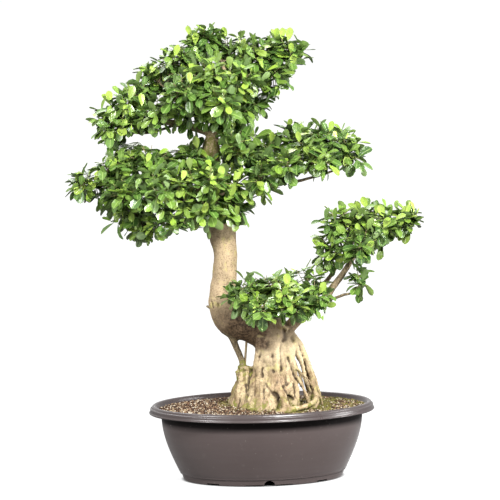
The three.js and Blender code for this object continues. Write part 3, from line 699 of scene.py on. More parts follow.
def limb_line(points, step):
    """Places and radii about every step along a smooth line through a limb's points, all in millimetres."""
    knots = np.array([p[:3] for p in points], float)
    radii = [p[3] for p in points]
    ends = np.vstack([2 * knots[0] - knots[1], knots, 2 * knots[-1] - knots[-2]])
    line, thick = [], []
    for i in range(len(knots) - 1):
        p = ends[i:i + 4]
        t = np.concatenate([[0], np.cumsum(np.sqrt(np.linalg.norm(np.diff(p, axis=0), axis=1)))])
        count = max(1, round(np.linalg.norm(p[2] - p[1]) / step))
        for share in np.arange(count) / count:
            x = t[1] + (t[2] - t[1]) * share
            a = [((t[k + 1] - x) * p[k] + (x - t[k]) * p[k + 1]) / (t[k + 1] - t[k]) for k in range(3)]
            b = [((t[k + 2] - x) * a[k] + (x - t[k]) * a[k + 1]) / (t[k + 2] - t[k]) for k in range(2)]
            line.append(((t[2] - x) * b[0] + (x - t[1]) * b[1]) / (t[2] - t[1]))
            smoothstep = share * share * (3 - 2 * share)
            thick.append(radii[i] + (radii[i + 1] - radii[i]) * smoothstep)
    return np.vstack([line, knots[-1:]]), np.array([*thick, radii[-1]], float)


def tube(line, radii, sides, wobble):
    """A closed round skin along a line, in millimetres: points and faces."""
    tangents = np.gradient(line, axis=0)
    tangents /= np.linalg.norm(tangents, axis=1)[:, None]
    guide = np.array([0, 0, 1.0]) if abs(tangents[0][2]) < 0.9 else np.array([1.0, 0, 0])
    side = np.cross(guide, tangents[0])
    points, faces = [], []
    for place, radius, tangent in zip(line, radii, tangents):
        side = side - tangent * (side @ tangent)
        side /= np.linalg.norm(side)
        up = np.cross(tangent, side)
        for k in range(sides):
            turn = 2 * math.pi * k / sides
            out = math.cos(turn) * side + math.sin(turn) * up
            swell = 1 + wobble * noise.noise(Vector(place + out * radius) / 26)
            points.append(place + out * radius * swell)
    rows = len(line)
    for i in range(rows - 1):
        for k in range(sides):
            j = (k + 1) % sides
            faces.append((i * sides + k, i * sides + j, (i + 1) * sides + j, (i + 1) * sides + k))
    for i, order in ((0, -1), (rows - 1, 1)):
        middle = len(points)
        points.append(line[i] + tangents[i] * order * radii[i] * 0.25)
        for k in range(sides):
            j = (k + 1) % sides
            first, second = (k, j) if order > 0 else (j, k)
            faces.append((i * sides + first, i * sides + second, middle))
    return points, faces


def skins_mesh(name, skins):
    """One mesh of many skins, turned into the part's frame and brought to metres."""
    points, faces = [], []
    for skin_points, skin_faces in skins:
        base = len(points)
        points.extend(skin_points)
        faces.extend(tuple(index + base for index in face) for face in skin_faces)
    mesh = bpy.data.meshes.new(name)
    mesh.from_pydata((np.array(points) @ TURN.T * MM).tolist(), [], faces)
    return mesh


def rib_roots():
    """Slim roots that run down over the root column and out into the soil, fused with it."""
    draw = random.Random(RIB_SEED)
    line, radii = limb_line(COLUMN, 6)
    ribs = []
    for index in range(RIBS):
        turn = 2 * math.pi * (index + draw.uniform(-0.3, 0.3)) / RIBS
        drift = draw.uniform(-0.3, 0.3)
        front = max(0.0, -math.sin(turn))
        top = draw.randint(7, 17) + round(10 * front)
        thick = draw.uniform(4.0, 7.5) * (1 - 0.25 * front)
        foot = draw.uniform(0, 14)
        points = []
        for row in range(top, len(line), 4):
            share = (row - top) / (len(line) - top)
            angle = turn + drift * share + 0.10 * math.sin(6 * share + index)
            out = radii[row] * 0.95 - 0.25 * thick + foot * share ** 4
            x, y = out * math.cos(angle), out * math.sin(angle)
            points.append((line[row][0] + x, line[row][1] + y, line[row][2], thick * (0.6 + 0.55 * share)))
        last = points[-1]
        points.append((last[0] + 4 * math.cos(turn), last[1] + 4 * math.sin(turn), ROOT_ENDS, last[3]))
        ribs.append(points)
    return ribs


def twig_starts(pad):
    """Samples of the upper trunk and of a pad's branches, where its twigs can start: places and radii."""
    limbs = [points for name, points in BRANCHES.items() if name.startswith(LIMB_NAMES[pad])]
    lines = [limb_line(points, 10) for points in [TRUNK[11:], *limbs]]
    return np.vstack([line[1:] for line, _ in lines]), np.concatenate([radii[1:] for _, radii in lines])


def spray_nodes():
    """The name and middle of every leafy spray's solid, in millimetres in the tree's frame."""
    found = []
    for name in sorted(frame["nodes"]):
        if "_spray_" in name:
            points = positions(frame["nodes"][name].data)
            found.append((name, (points.mean(axis=0) / MM) @ TURN))
    return found


def spray_twigs():
    """The twig of every spray, from the nearest limb to the spray's middle, as points with radii."""
    twigs = {}
    for index, (name, middle) in enumerate(spray_nodes()):
        starts, radii = twig_starts(name.split("_")[0])
        nearest = np.argmin(np.linalg.norm(starts - middle, axis=1))
        start = starts[nearest]
        way = middle - start
        sag = np.array([math.sin(index * 2.1) * 4, math.cos(index * 1.7) * 4, -5])
        thick = min(3.6, radii[nearest] * 0.9)
        twigs[name] = [
            (*start, thick), (*(start + way * 0.35 + sag), thick * 0.85),
            (*(start + way * 0.72 + sag * 0.5), thick * 0.7), (*(start + way), thick * 0.5),
        ]
    return twigs


# Wood, with heights and places in millimetres in the tree's frame

COLUMN_AXIS = (22, -8)
CREAM_UP_TO = (292, 334)
STUB_UP_TO = (244, 256)
FRONT_HALF = 12
STUB_REACH = 24
STRUT_BARK_FROM = 262
KNUCKLE = (-112, -12, 752)


def ramp_between(value, low, high):
    """0 at low, 1 at high, smooth between."""
    share = np.clip((np.asarray(value, float) - low) / (high - low), 0, 1)
    return share * share * (3 - 2 * share)


def crease_depths(points, facing):
    """How deep the creases of the wood's front are at each point, in metres, and how much painted shade it
    takes: near a crease, or on faces turned inward among the right roots.
    """
    tree_points, tree_facing = points @ TURN / MM, facing @ TURN
    front = -tree_facing[:, 1]
    flat = tree_points[:, [0, 2]]
    depths, painted_crease_shade = np.zeros(len(points)), np.zeros(len(points))
    for line, depth, width in CREASES:
        corners = np.array(line, float)
        gap = np.full(len(points), 1e9)
        for start, end in zip(corners, corners[1:]):
            way = end - start
            share = np.clip((flat - start) @ way / (way @ way), 0, 1)
            gap = np.minimum(gap, np.linalg.norm(flat - start - share[:, None] * way, axis=1))
        close = np.flatnonzero((gap < 3 * width) & (front > 0.05) & (tree_points[:, 1] < FRONT_HALF))
        for i in close:
            place = Vector(tree_points[i])
            wander = 1.5 * noise.noise(place / 7)
            breadth = width * (0.85 + 0.7 * noise.noise(place / 10))
            near = math.exp(-(max(gap[i] + wander, 0) / breadth) ** 2) * min((front[i] - 0.05) / 0.35, 1)
            depths[i] = max(depths[i], depth * near)
            painted_crease_shade[i] = max(painted_crease_shade[i], near * min(depth / 4.5, 1))
    x, z = flat.T
    shaded_inward = ramp_between(-tree_facing[:, 0], 0.0, 0.45) * (1 - ramp_between(front, 0.55, 0.9))
    among_roots = ramp_between(x, 44, 56) * ramp_between(z, 172, 186) * (1 - ramp_between(z, 280, 296))
    return depths * MM, np.maximum(painted_crease_shade, 0.8 * shaded_inward * among_roots)


def bark_relief(points, relief):
    """How far each point of the bark stands out, in metres, and how rooty it is."""
    tree_points = points @ TURN / MM
    rooty = (1 - ramp_between(tree_points[:, 2], *CREAM_UP_TO)) * ramp_between(tree_points[:, 0], -30, -4)
    rooty = np.maximum(rooty, 1 - ramp_between(tree_points[:, 2], *STUB_UP_TO))
    height = np.zeros(len(points))
    for i, (x, y, z) in enumerate(tree_points):
        place = Vector((x, y, z))
        value = 0.5 * noise.noise(place / 34) + 0.30 * noise.fractal(place / 8, 0.9, 2.1, 3)
        root = rooty[i]
        if root > 0:
            turn = math.atan2(y - COLUMN_AXIS[1], x - COLUMN_AXIS[0])
            rib = noise.noise(Vector((turn * 6.5, z / 75, 3.1)))
            ridge = 1 - 2 * abs(noise.noise(Vector((turn * 12, z / 42, 7.7))))
            knob = noise.noise(place / 12)
            low = 1 - 0.55 * ramp_between(z, 225, 285)
            value += root * relief / MM * (low * (0.34 * rib + 0.26 * ridge - 0.10) + 0.34 * knob)
            value += root * 0.9 * noise.fractal(place / 4.5, 0.8, 2.0, 3)
        else:
            value += 0.25 * noise.noise(Vector((x / 60, y / 60, z / 5)))
        broken = max(0.0, 1 - (place - Vector(STUB)).length / STUB_REACH)
        value += 6 * broken * noise.fractal(place / 9, 0.8, 2.0, 3)
        height[i] = value * MM
    return height, rooty


def bend_shade_and_stain(points, facing):
    """Painted shade and darker stained bark under the trunk's bend, less on faces turned up or to the left.
    """
    tree_points, tree_facing = points @ TURN / MM, facing @ TURN
    x, _, z = tree_points.T
    bend = ramp_between(z, 402, 362) * (1 - ramp_between(z, 300, 285)) * (1 - ramp_between(x, 10, 45))
    lit_side = np.clip(-tree_facing[:, 0], 0, 1) ** 1.5 * ramp_between(z, 318, 350)
    return np.clip(bend * (1 - 0.8 * lit_side) * (1 - 0.6 * ramp_between(tree_facing[:, 2], 0.3, 0.8)), 0, 1)


def slim_bark(points):
    """Greyer, darker bark on the strut and out along the branches, by nearness to their lines."""
    tree_points = points @ TURN / MM
    amount = np.zeros(len(points))
    limbs = [(STRUT, 1.0)] + [(limb, 0.8) for limb in BRANCHES.values() if limb[0][3] >= THICK_LIMB]
    for limb, most in limbs:
        line, radii = limb_line(limb, 8)
        high = line[:, 2] > STRUT_BARK_FROM
        line, radii = line[high], radii[high]
        for index, (place, radius) in enumerate(zip(line, radii)):
            near = np.abs(tree_points - place).max(axis=1) < radius * 1.5 + 4
            grown = most * min(index / 9, 1) if limb is not STRUT else 1.0
            amount[near] = np.maximum(amount[near], grown)
    return amount


def moss_amount(points, facing):
    """Where moss grows on the wood: low on the roots, and on the trunk's knuckle and the cut stub."""
    amounts = np.zeros(len(points))
    knuckle = np.array(KNUCKLE) @ TURN.T * MM
    stub = np.array(STUB) @ TURN.T * MM
    for i, point in enumerate(points):
        patch = noise.fractal(Vector(point) * 55, 0.8, 2.0, 3)
        low = min(max((0.205 - point[2]) / 0.04, 0), 1)
        up = 0.3 + 0.7 * max(facing[i][2], 0)
        amount = low * (0.55 + patch) * (0.6 + 0.6 * up)
        near = max(0.0, 1 - np.linalg.norm(point - knuckle) / 0.046)
        amount = max(amount, near * (1.1 + patch))
        near = max(0.0, 1 - np.linalg.norm(point - stub) / 0.035)
        amount = max(amount, near * (1.15 + 1.3 * patch))
        amounts[i] = amount
    return amounts.clip(0, 1)


def bark_material(settings):
    """Tan bark, creamier on the roots with painted light high on the column, painted shade in the crevices,
    painted shade and darker stained bark under the bend, with moss.
    """
    material, tree, shader = new_material("ficus_bark")
    here = places(tree)
    tall = places(tree, (1, 1, 0.35))
    rooty = attribute(tree, "rooty")
    crevice = attribute(tree, "crevice")
    moss = attribute(tree, "moss")
    slim = attribute(tree, "slim")
    shade = attribute(tree, "shade")
    darker = colour(*(c * 0.70 for c in settings.colour))
    lighter = colour(*(min(c * 1.22, 1) for c in settings.colour))
    trunk = mix(tree, spread(tree, cloud(tree, tall, 26.0, 5.0, 0.6), 0.35, 0.65), darker, lighter)
    lichen = spread(tree, cloud(tree, here, 55.0, 4.0, 0.65), 0.54, 0.66, 0.0, 0.60)
    trunk = mix(tree, lichen, trunk, colour(0.46, 0.41, 0.13))
    specks = spread(tree, cloud(tree, here, 280.0, 3.0, 0.6), 0.52, 0.64, 0.0, 0.72)
    trunk = mix(tree, specks, trunk, colour(0.15, 0.095, 0.05))
    cream = mix(tree, spread(tree, cloud(tree, tall, 40.0, 5.0, 0.62), 0.38, 0.62),
                colour(0.22, 0.155, 0.082), colour(0.50, 0.395, 0.235))
    rosy = spread(tree, cloud(tree, here, 24.0, 3.0), 0.50, 0.66, 0.0, 0.5)
    cream = mix(tree, rosy, cream, colour(0.41, 0.28, 0.175))
    stains = spread(tree, cloud(tree, places(tree, (1, 1, 0.25)), 75.0, 5.0, 0.65), 0.52, 0.64, 0.0, 0.8)
    cream = mix(tree, stains, cream, colour(0.15, 0.10, 0.045))
    flecks = spread(tree, cloud(tree, here, 300.0, 3.0, 0.6), 0.51, 0.64, 0.0, 0.66)
    cream = mix(tree, flecks, cream, colour(0.11, 0.07, 0.033))
    height = add_node(tree, "ShaderNodeSeparateXYZ", {0: here}).outputs[2]
    # Painted light: the cream is lighter high on the column, where the lower pad shades it.
    high = spread(tree, height, 0.235, 0.275, 0.0, 0.55)
    cream = mix(tree, high, cream, mix(tree, 0.5, cream, colour(0.66, 0.56, 0.37)))
    yellowed = spread(tree, cloud(tree, here, 44.0, 4.0, 0.65), 0.55, 0.66, 0.0, 0.45)
    cream = mix(tree, yellowed, cream, colour(0.46, 0.42, 0.15))
    bark = mix(tree, rooty, trunk, cream)
    # Painted shade and darker stained bark under the bend, by the shade amount.
    brown = mix(tree, spread(tree, cloud(tree, here, 180.0, 4.0, 0.7), 0.40, 0.66),
                colour(0.040, 0.024, 0.013), colour(0.19, 0.125, 0.070))
    bark = mix(tree, shade, bark, brown)
    twig = mix(tree, spread(tree, cloud(tree, here, 230.0, 4.0, 0.65), 0.38, 0.62),
               colour(0.055, 0.040, 0.024), colour(0.26, 0.205, 0.115))
    bark = mix(tree, slim, bark, twig)
    # Painted shade in the hollows and creases, and on the inner sides of the right roots.
    bark = mix(tree, spread(tree, crevice, 0.10, 0.80, 0.0, 0.90), bark, colour(0.040, 0.023, 0.011))
    green = mix(tree, cloud(tree, here, 240.0, 4.0, 0.7), colour(0.056, 0.060, 0.012),
                colour(0.27, 0.26, 0.052))
    patchy = maths(tree, "MULTIPLY", moss, spread(tree, cloud(tree, here, 150.0, 4.0, 0.7), 0.36, 0.54))
    bark = mix(tree, spread(tree, patchy, 0.22, 0.6), bark, green)
    tree.links.new(bark, shader.inputs["Base Color"])
    tree.links.new(spread(tree, cloud(tree, here, 120.0), 0.3, 0.7, 0.60, 0.84), shader.inputs["Roughness"])
    fissures = bump(tree, cloud(tree, tall, 240.0, 5.0, 0.65), 0.6, 0.0016)
    tree.links.new(bump(tree, cloud(tree, here, 900.0, 2.0), 0.35, 0.0005, fissures), shader.inputs["Normal"])
    shader.inputs["Specular IOR Level"].default_value = 0.3
    return material


def mesh_edges(mesh):
    edges = np.zeros(len(mesh.edges) * 2, np.int32)
    mesh.edges.foreach_get("vertices", edges)
    return edges.reshape(-1, 2)


class MakeWood(bpy.types.Operator):
    """Makes the roots, trunk, branches and twigs as one piece of wood with its bark"""
    bl_idname = "bonsai.make_wood"
    bl_label = "Make the wood"

    def execute(self, context):
        settings = context.scene.bonsai_wood
        skins = [tube(*limb_line(TRUNK, 6), 40, wobble=0.07), tube(*limb_line(COLUMN, 6), 48, wobble=0.12)]
        skins += [tube(*limb_line(points, 4), 20, wobble=0.20) for points in ROOTS.values()]
        skins += [tube(*limb_line(points, 5), 14, wobble=0.2) for points in rib_roots()]
        thick = [points for points in BRANCHES.values() if points[0][3] >= THICK_LIMB]
        skins += [tube(*limb_line(points, 6), 16, wobble=0.12) for points in [*thick, STRUT]]
        skins += [tube(*limb_line(points, 5), 12, wobble=0.3) for points in KNOBS]
        body = new_object("wood_body", skins_mesh("wood_body", skins))
        remesh = body.modifiers.new("skin", "REMESH")
        remesh.mode = "VOXEL"
        remesh.voxel_size = settings.skin
        body = finished(body, "wood_body")
        mesh = body.data
        edges = mesh_edges(mesh)
        place_points(mesh, soften(positions(mesh), edges, 2))
        points, facing = positions(mesh), normals(mesh)
        height, rooty = bark_relief(points, settings.relief)
        depths, crease_shade = crease_depths(points, facing)
        points = points + facing * (height - depths)[:, None]
        place_points(mesh, points)
        facing = normals(mesh)
        # How hollow each point lies, for the painted shade in the crevices.
        hollow = ((soften(points, edges, 24) - points) * facing).sum(axis=1)
        hollow = soften(np.repeat(hollow[:, None], 3, axis=1), edges, 2)[:, 0]
        amounts = {
            "rooty": rooty,
            "crevice": np.maximum((hollow / 0.0016).clip(0, 1) * (0.25 + 0.75 * rooty), crease_shade),
            "moss": moss_amount(points, facing),
            "slim": 0.85 * slim_bark(points),
            "shade": bend_shade_and_stain(points, facing),
        }
        for name, values in amounts.items():
            store(mesh, name, values)
        slim = [tube(*limb_line(points, 5), 8, wobble=0.15) for points in spray_twigs().values()]
        thin = [points for points in BRANCHES.values() if points[0][3] < THICK_LIMB]
        slim += [tube(*limb_line(points, 6), 9, wobble=0.15) for points in [*thin, STRAND, *GAP_ROOTS]]
        twigs = skins_mesh("twigs", slim)
        on_strand = positions(twigs)[:, 2] < STRAND[0][2] * MM + 0.004
        for name in amounts:
            store(twigs, name, np.where(on_strand, 0.25, 1.0) * (name == "slim"))
        added = new_object("twigs", twigs)
        with context.temp_override(active_object=body, selected_editable_objects=[body, added]):
            bpy.ops.object.join()
        body.name = body.data.name = "roots_trunk_and_twigs"
        smooth(body.data)
        body.data.materials.append(bark_material(settings))
        piece(body, "bark", "roots_trunk_branches")
        return {"FINISHED"}


# Soil

FEET_UP_TO = 175
ROOT_OVERLAP = 0.004
GRAIN_STRETCHES = [(1.0, 1.0, 0.8), (1.25, 0.8, 0.6), (0.8, 1.1, 0.9), (1.5, 0.7, 0.5), (0.9, 0.9, 1.0)]
FIRST_GRAIN_SEED = 60


def soil_height(settings, x, y):
    """The soil's surface, rising towards the tree."""
    edge = settings.rim_length / 2 - SOIL_INSET - CLEARANCE
    share = min(math.hypot(x / edge, y / oval(settings, edge)), 1)
    bumps = noise.noise(Vector((x * 22, y * 22, 2))) + 0.5 * noise.noise(Vector((x * 60, y * 60, 5)))
    return SOIL_EDGE - 0.0035 + 0.008 * (1 - share) + 0.0028 * bumps * (1 - share ** 6)


def grain_mesh(name, seed, stretch):
    """A pebble of twenty faces."""
    shape = bmesh.new()
    bmesh.ops.create_icosphere(shape, subdivisions=1, radius=0.5)
    draw = random.Random(seed)
    for vertex in shape.verts:
        vertex.co *= draw.uniform(0.78, 1.2)
        vertex.co.x *= stretch[0]
        vertex.co.y *= stretch[1]
        vertex.co.z *= stretch[2]
    mesh = bpy.data.meshes.new(name)
    shape.to_mesh(mesh)
    shape.free()
    return mesh


def tuft_mesh(name):
    """A tuft of moss: a few short blades of three sides."""
    points, faces = [], []
    for blade in range(6):
        turn = blade * 2.4
        lean = 0.16 + 0.07 * (blade % 3)
        foot = Vector((0.12 * math.cos(turn), 0.12 * math.sin(turn), 0))
        base = len(points)
        for k in range(3):
            around = turn + k * 2 * math.pi / 3
            points.append(foot + Vector((0.13 * math.cos(around), 0.13 * math.sin(around), 0)))
        points.append(foot + Vector((lean * math.cos(turn), lean * math.sin(turn), 0.62 + 0.1 * (blade % 2))))
        faces += [(base, base + 1, base + 3), (base + 1, base + 2, base + 3), (base + 2, base, base + 3),
                  (base + 2, base + 1, base)]
    mesh = bpy.data.meshes.new(name)
    mesh.from_pydata(points, [], faces)
    return mesh


def socket(tree, name, kind, default=None):
    made = tree.interface.new_socket(name, in_out="INPUT", socket_type=kind)
    if default is not None:
        made.default_value = default


def named(tree, name, kind="FLOAT"):
    return add_node(tree, "GeometryNodeInputNamedAttribute", {"Name": name}, data_type=kind).outputs[0]


# What lies on the soil: the input, where it lies, share of the spacing, least and most size, and tilt.
SCATTERED = (
    ("Grains", "open_soil", 1.0, 0.62, 1.45, math.pi),
    ("Tufts", "moss", 0.72, 0.7, 1.25, 0.35),
)


def scatter_tree(material):
    """Scatters the shapes of a collection over the faces where an amount allows, and keeps the surface."""
    tree = bpy.data.node_groups.new("soil_scatter", "GeometryNodeTree")
    tree.interface.new_socket("Geometry", in_out="OUTPUT", socket_type="NodeSocketGeometry")
    for name, kind, default in (
            ("Geometry", "NodeSocketGeometry", None), ("Grains", "NodeSocketCollection", None),
            ("Tufts", "NodeSocketCollection", None), ("Spacing", "NodeSocketFloat", 0.004),
            ("Grain", "NodeSocketFloat", 0.0044), ("Seed", "NodeSocketInt", 11)):
        socket(tree, name, kind, default)
    start = add_node(tree, "NodeGroupInput")
    parts = [start.outputs["Geometry"]]
    for label, amount, closer, low, high, flat in SCATTERED:
        spacing = add_node(tree, "ShaderNodeMath", {0: start.outputs["Spacing"], 1: closer},
                           operation="MULTIPLY")
        points = add_node(tree, "GeometryNodeDistributePointsOnFaces", {
            "Mesh": start.outputs["Geometry"], "Distance Min": spacing.outputs[0], "Density Max": 4e5,
            "Density Factor": named(tree, amount), "Seed": start.outputs["Seed"]},
            distribute_method="POISSON")
        shapes = add_node(tree, "GeometryNodeCollectionInfo", {
            "Collection": start.outputs[label], "Separate Children": True, "Reset Children": True})
        tone = add_node(tree, "FunctionNodeRandomValue", {2: 0.0, 3: 1.0, "Seed": start.outputs["Seed"]},
                        data_type="FLOAT")
        kept = add_node(tree, "GeometryNodeStoreNamedAttribute", {
            "Geometry": points.outputs["Points"], "Name": "grain_tone", "Value": tone.outputs[1]},
            data_type="FLOAT", domain="POINT")
        marked = add_node(tree, "GeometryNodeStoreNamedAttribute", {
            "Geometry": kept.outputs[0], "Name": "tuft", "Value": 1.0 if label == "Tufts" else 0.0},
            data_type="FLOAT", domain="POINT")
        turn = add_node(tree, "FunctionNodeRandomValue", {
            0: (-flat, -flat, -math.pi), 1: (flat, flat, math.pi), "Seed": start.outputs["Seed"]},
            data_type="FLOAT_VECTOR")
        size = add_node(tree, "FunctionNodeRandomValue", {2: low, 3: high, "Seed": 5}, data_type="FLOAT")
        scale = add_node(tree, "ShaderNodeMath", {0: size.outputs[1], 1: start.outputs["Grain"]},
                         operation="MULTIPLY")
        placed = add_node(tree, "GeometryNodeInstanceOnPoints", {
            "Points": marked.outputs[0], "Instance": shapes.outputs[0], "Pick Instance": True,
            "Rotation": turn.outputs[0], "Scale": scale.outputs[0]})
        parts.append(placed.outputs[0])
    joined = add_node(tree, "GeometryNodeJoinGeometry")
    for part in reversed(parts):
        tree.links.new(part, joined.inputs[0])
    real = add_node(tree, "GeometryNodeRealizeInstances", {"Geometry": joined.outputs[0]})
    dressed = add_node(tree, "GeometryNodeSetMaterial", {"Geometry": real.outputs[0], "Material": material})
    add_node(tree, "NodeGroupOutput", {0: dressed.outputs[0]})
    return tree


def soil_material():
    """Mixed grains of bark, clay and pumice with moss among them."""
    material, tree, shader = new_material("mixed_soil")
    here = places(tree)
    tone = attribute(tree, "grain_tone")
    grain = ramp(tree, tone, [
        (0.00, colour(0.030, 0.016, 0.010)), (0.22, colour(0.085, 0.048, 0.028)),
        (0.38, colour(0.22, 0.125, 0.072)), (0.48, colour(0.36, 0.24, 0.135)),
        (0.58, colour(0.045, 0.024, 0.014)), (0.70, colour(0.56, 0.44, 0.28)),
        (0.84, colour(0.82, 0.73, 0.57)), (0.95, colour(0.29, 0.17, 0.10))], "CONSTANT")
    grain = mix(tree, spread(tree, cloud(tree, here, 500.0, 3.0), 0.35, 0.7, 0.0, 0.45), grain,
                colour(0.07, 0.04, 0.022))
    moss = attribute(tree, "moss")
    green = mix(tree, cloud(tree, here, 200.0, 3.0), colour(0.042, 0.046, 0.011), colour(0.27, 0.25, 0.060))
    tuft = attribute(tree, "tuft")
    grain = mix(tree, 0.42, grain, colour(0.038, 0.021, 0.013))
    shade = mix(tree, maths(tree, "MULTIPLY", spread(tree, moss, 0.2, 0.9), 0.45), grain, green)
    shade = mix(tree, tuft, shade, green)
    tree.links.new(shade, shader.inputs["Base Color"])
    shader.inputs["Roughness"].default_value = 0.9
    shader.inputs["Specular IOR Level"].default_value = 0.2
    tree.links.new(bump(tree, cloud(tree, here, 900.0, 3.0), 0.4, 0.0006), shader.inputs["Normal"])
    return material


def gather(name, meshes):
    """A collection of the meshes as objects, in order."""
    collection = bpy.data.collections.new(name)
    for index, mesh in enumerate(meshes):
        collection.objects.link(bpy.data.objects.new(f"{name}_{index}", mesh))
    return collection


def scrap(collection):
    """Removes a collection with its objects and meshes."""
    for made in list(collection.objects):
        mesh = made.data
        bpy.data.objects.remove(made)
        bpy.data.meshes.remove(mesh)
    bpy.data.collections.remove(collection)


class MakeSoil(bpy.types.Operator):
    """Makes the soil that fills the pot, with its grains and moss"""
    bl_idname = "bonsai.make_soil"
    bl_label = "Make the soil"

    def execute(self, context):
        pot = context.scene.bonsai_pot
        settings = context.scene.bonsai_soil
        edge = pot.rim_length / 2 - SOIL_INSET - CLEARANCE
        to = pot.height - RIM_BAND - UNDER_RIM
        heights = np.linspace(WALL_FROM + 0.003, to, 8)
        inner = [(wall_radius(pot, h) - POT_WALL - CLEARANCE, h) for h in heights]
        floor = POT_FLOOR + CLEARANCE
        rings = [(edge * share, SOIL_EDGE) for share in np.linspace(1, 0.02, 46)]
        section = [(0, floor), (pot.foot_length / 2 - 0.0055, floor), *inner,
                   (edge - 0.001, SOIL_EDGE - 0.006), *rings, (0, SOIL_EDGE)]
        mesh = oval_lathe(pot, section, 150)
        points = positions(mesh)
        top = points[:, 2] > SOIL_EDGE - 0.0005
        footprint = [limb_line(COLUMN, 6)] + [limb_line(limb, 5) for limb in ROOTS.values()]
        feet = np.vstack([line for line, _ in footprint])
        thick = np.concatenate([radii for _, radii in footprint])
        low = feet[:, 2] < FEET_UP_TO
        feet, thick = feet[low][:, :2] @ TURN[:2, :2].T * MM, thick[low] * MM
        open_soil = np.zeros(len(points))
        moss = np.zeros(len(points))
        for i in np.flatnonzero(top):
            x, y = points[i, :2]
            points[i, 2] = soil_height(pot, x, y)
            gap = (np.hypot(feet[:, 0] - x, feet[:, 1] - y) - thick).min()
            open_soil[i] = 1.0 if gap > -ROOT_OVERLAP else 0.0
            patch = noise.fractal(Vector((x * 26, y * 26, 8)), 0.8, 2.0, 3)
            near = max(0.0, 1 - max(gap, 0) / 0.028)
            right = min(max((x - 0.075) / 0.09, 0), 1)
            grown = near * (0.36 + patch) + right * (0.28 + 1.1 * patch)
            moss[i] = min(max(grown, 0), 1) * open_soil[i]
        place_points(mesh, points)
        store(mesh, "open_soil", open_soil)
        store(mesh, "moss", moss)
        material = soil_material()
        base = new_object("soil", mesh)
        grains = gather("grains", [grain_mesh(f"grain_{k}", FIRST_GRAIN_SEED + k, stretch)
                                   for k, stretch in enumerate(GRAIN_STRETCHES)])
        tufts = gather("tufts", [tuft_mesh("tuft")])
        soil = run_nodes(base, scatter_tree(material), "soil_and_grains", grains=grains, tufts=tufts,
                         spacing=settings.spacing, grain=settings.grain, seed=settings.seed)
        scrap(grains)
        scrap(tufts)
        piece(soil, "soil", "soil")
        return {"FINISHED"}


# Leafy sprays

LEAF_ROWS = [(0.13, 0.075), (0.31, 0.54), (0.53, 0.89), (0.76, 1.0), (0.92, 0.64)]


def leaf_mesh(name, width, fold, droop, curl, twist):
    """A leaf one long and broadest past its middle: a closed blade with a stalk, 40 faces."""
    points = [Vector((0, 0, 0))]
    marks = [(0.5, 0.0)]
    for along, share in LEAF_ROWS:
        half = width / 2 * share
        drop = -droop * (along ** 2.2)
        lift = fold * half
        wave = curl * half * math.sin(along * 9)
        turn = twist * along
        for side in (-1, 0, 1):
            x = side * half
            z = drop + (lift + side * wave if side else 0)
            points.append(Vector((x * math.cos(turn), along, z + x * math.sin(turn))))
            marks.append((0.5 + side * 0.5, along))
        points.append(Vector((0, along, drop - 0.022)))
        marks.append((0.5, along))
    tip = len(points)
    points.append(Vector((0, 1.0, -droop)))
    marks.append((0.5, 1.0))
    rows = [list(range(1 + 4 * k, 5 + 4 * k)) for k in range(len(LEAF_ROWS))]
    faces, under = [], []
    left, middle, right, below = rows[0]
    faces += [(0, middle, left), (0, right, middle), (0, left, below), (0, below, right)]
    under += [False, False, True, True]
    for (l1, m1, r1, b1), (l2, m2, r2, b2) in zip(rows, rows[1:]):
        faces += [(l1, m1, m2, l2), (m1, r1, r2, m2), (l2, b2, b1, l1), (b2, r2, r1, b1)]
        under += [False, False, True, True]
    left, middle, right, below = rows[-1]
    faces += [(left, middle, tip), (middle, right, tip), (left, tip, below), (below, tip, right)]
    under += [False, False, True, True]
    mesh = bpy.data.meshes.new(name)
    mesh.from_pydata(points, [], faces)
    layer = mesh.uv_layers.new(name="UVMap")
    for face, is_under in zip(mesh.polygons, under):
        for loop in face.loop_indices:
            u, v = marks[mesh.loops[loop].vertex_index]
            layer.data[loop].uv = (u + (2 if is_under else 0), v)
    smooth(mesh)
    margin = {0, tip} | {index for row in rows for index in (row[0], row[2])}
    for edge in mesh.edges:
        edge.use_edge_sharp = set(edge.vertices) <= margin
    return mesh


LEAF_SHAPES = [
    # width, fold, droop, curl, twist
    (0.48, 0.22, 0.10, 0.05, 0.10), (0.50, 0.34, 0.20, -0.06, -0.15), (0.44, 0.15, -0.03, 0.08, 0.05),
    (0.52, 0.28, 0.05, 0.03, -0.05), (0.50, 0.35, -0.06, 0.04, 0.0), (0.20, 0.9, -0.05, 0.0, 0.0),
]
YOUNG_LEAF = 4
BUD = 5


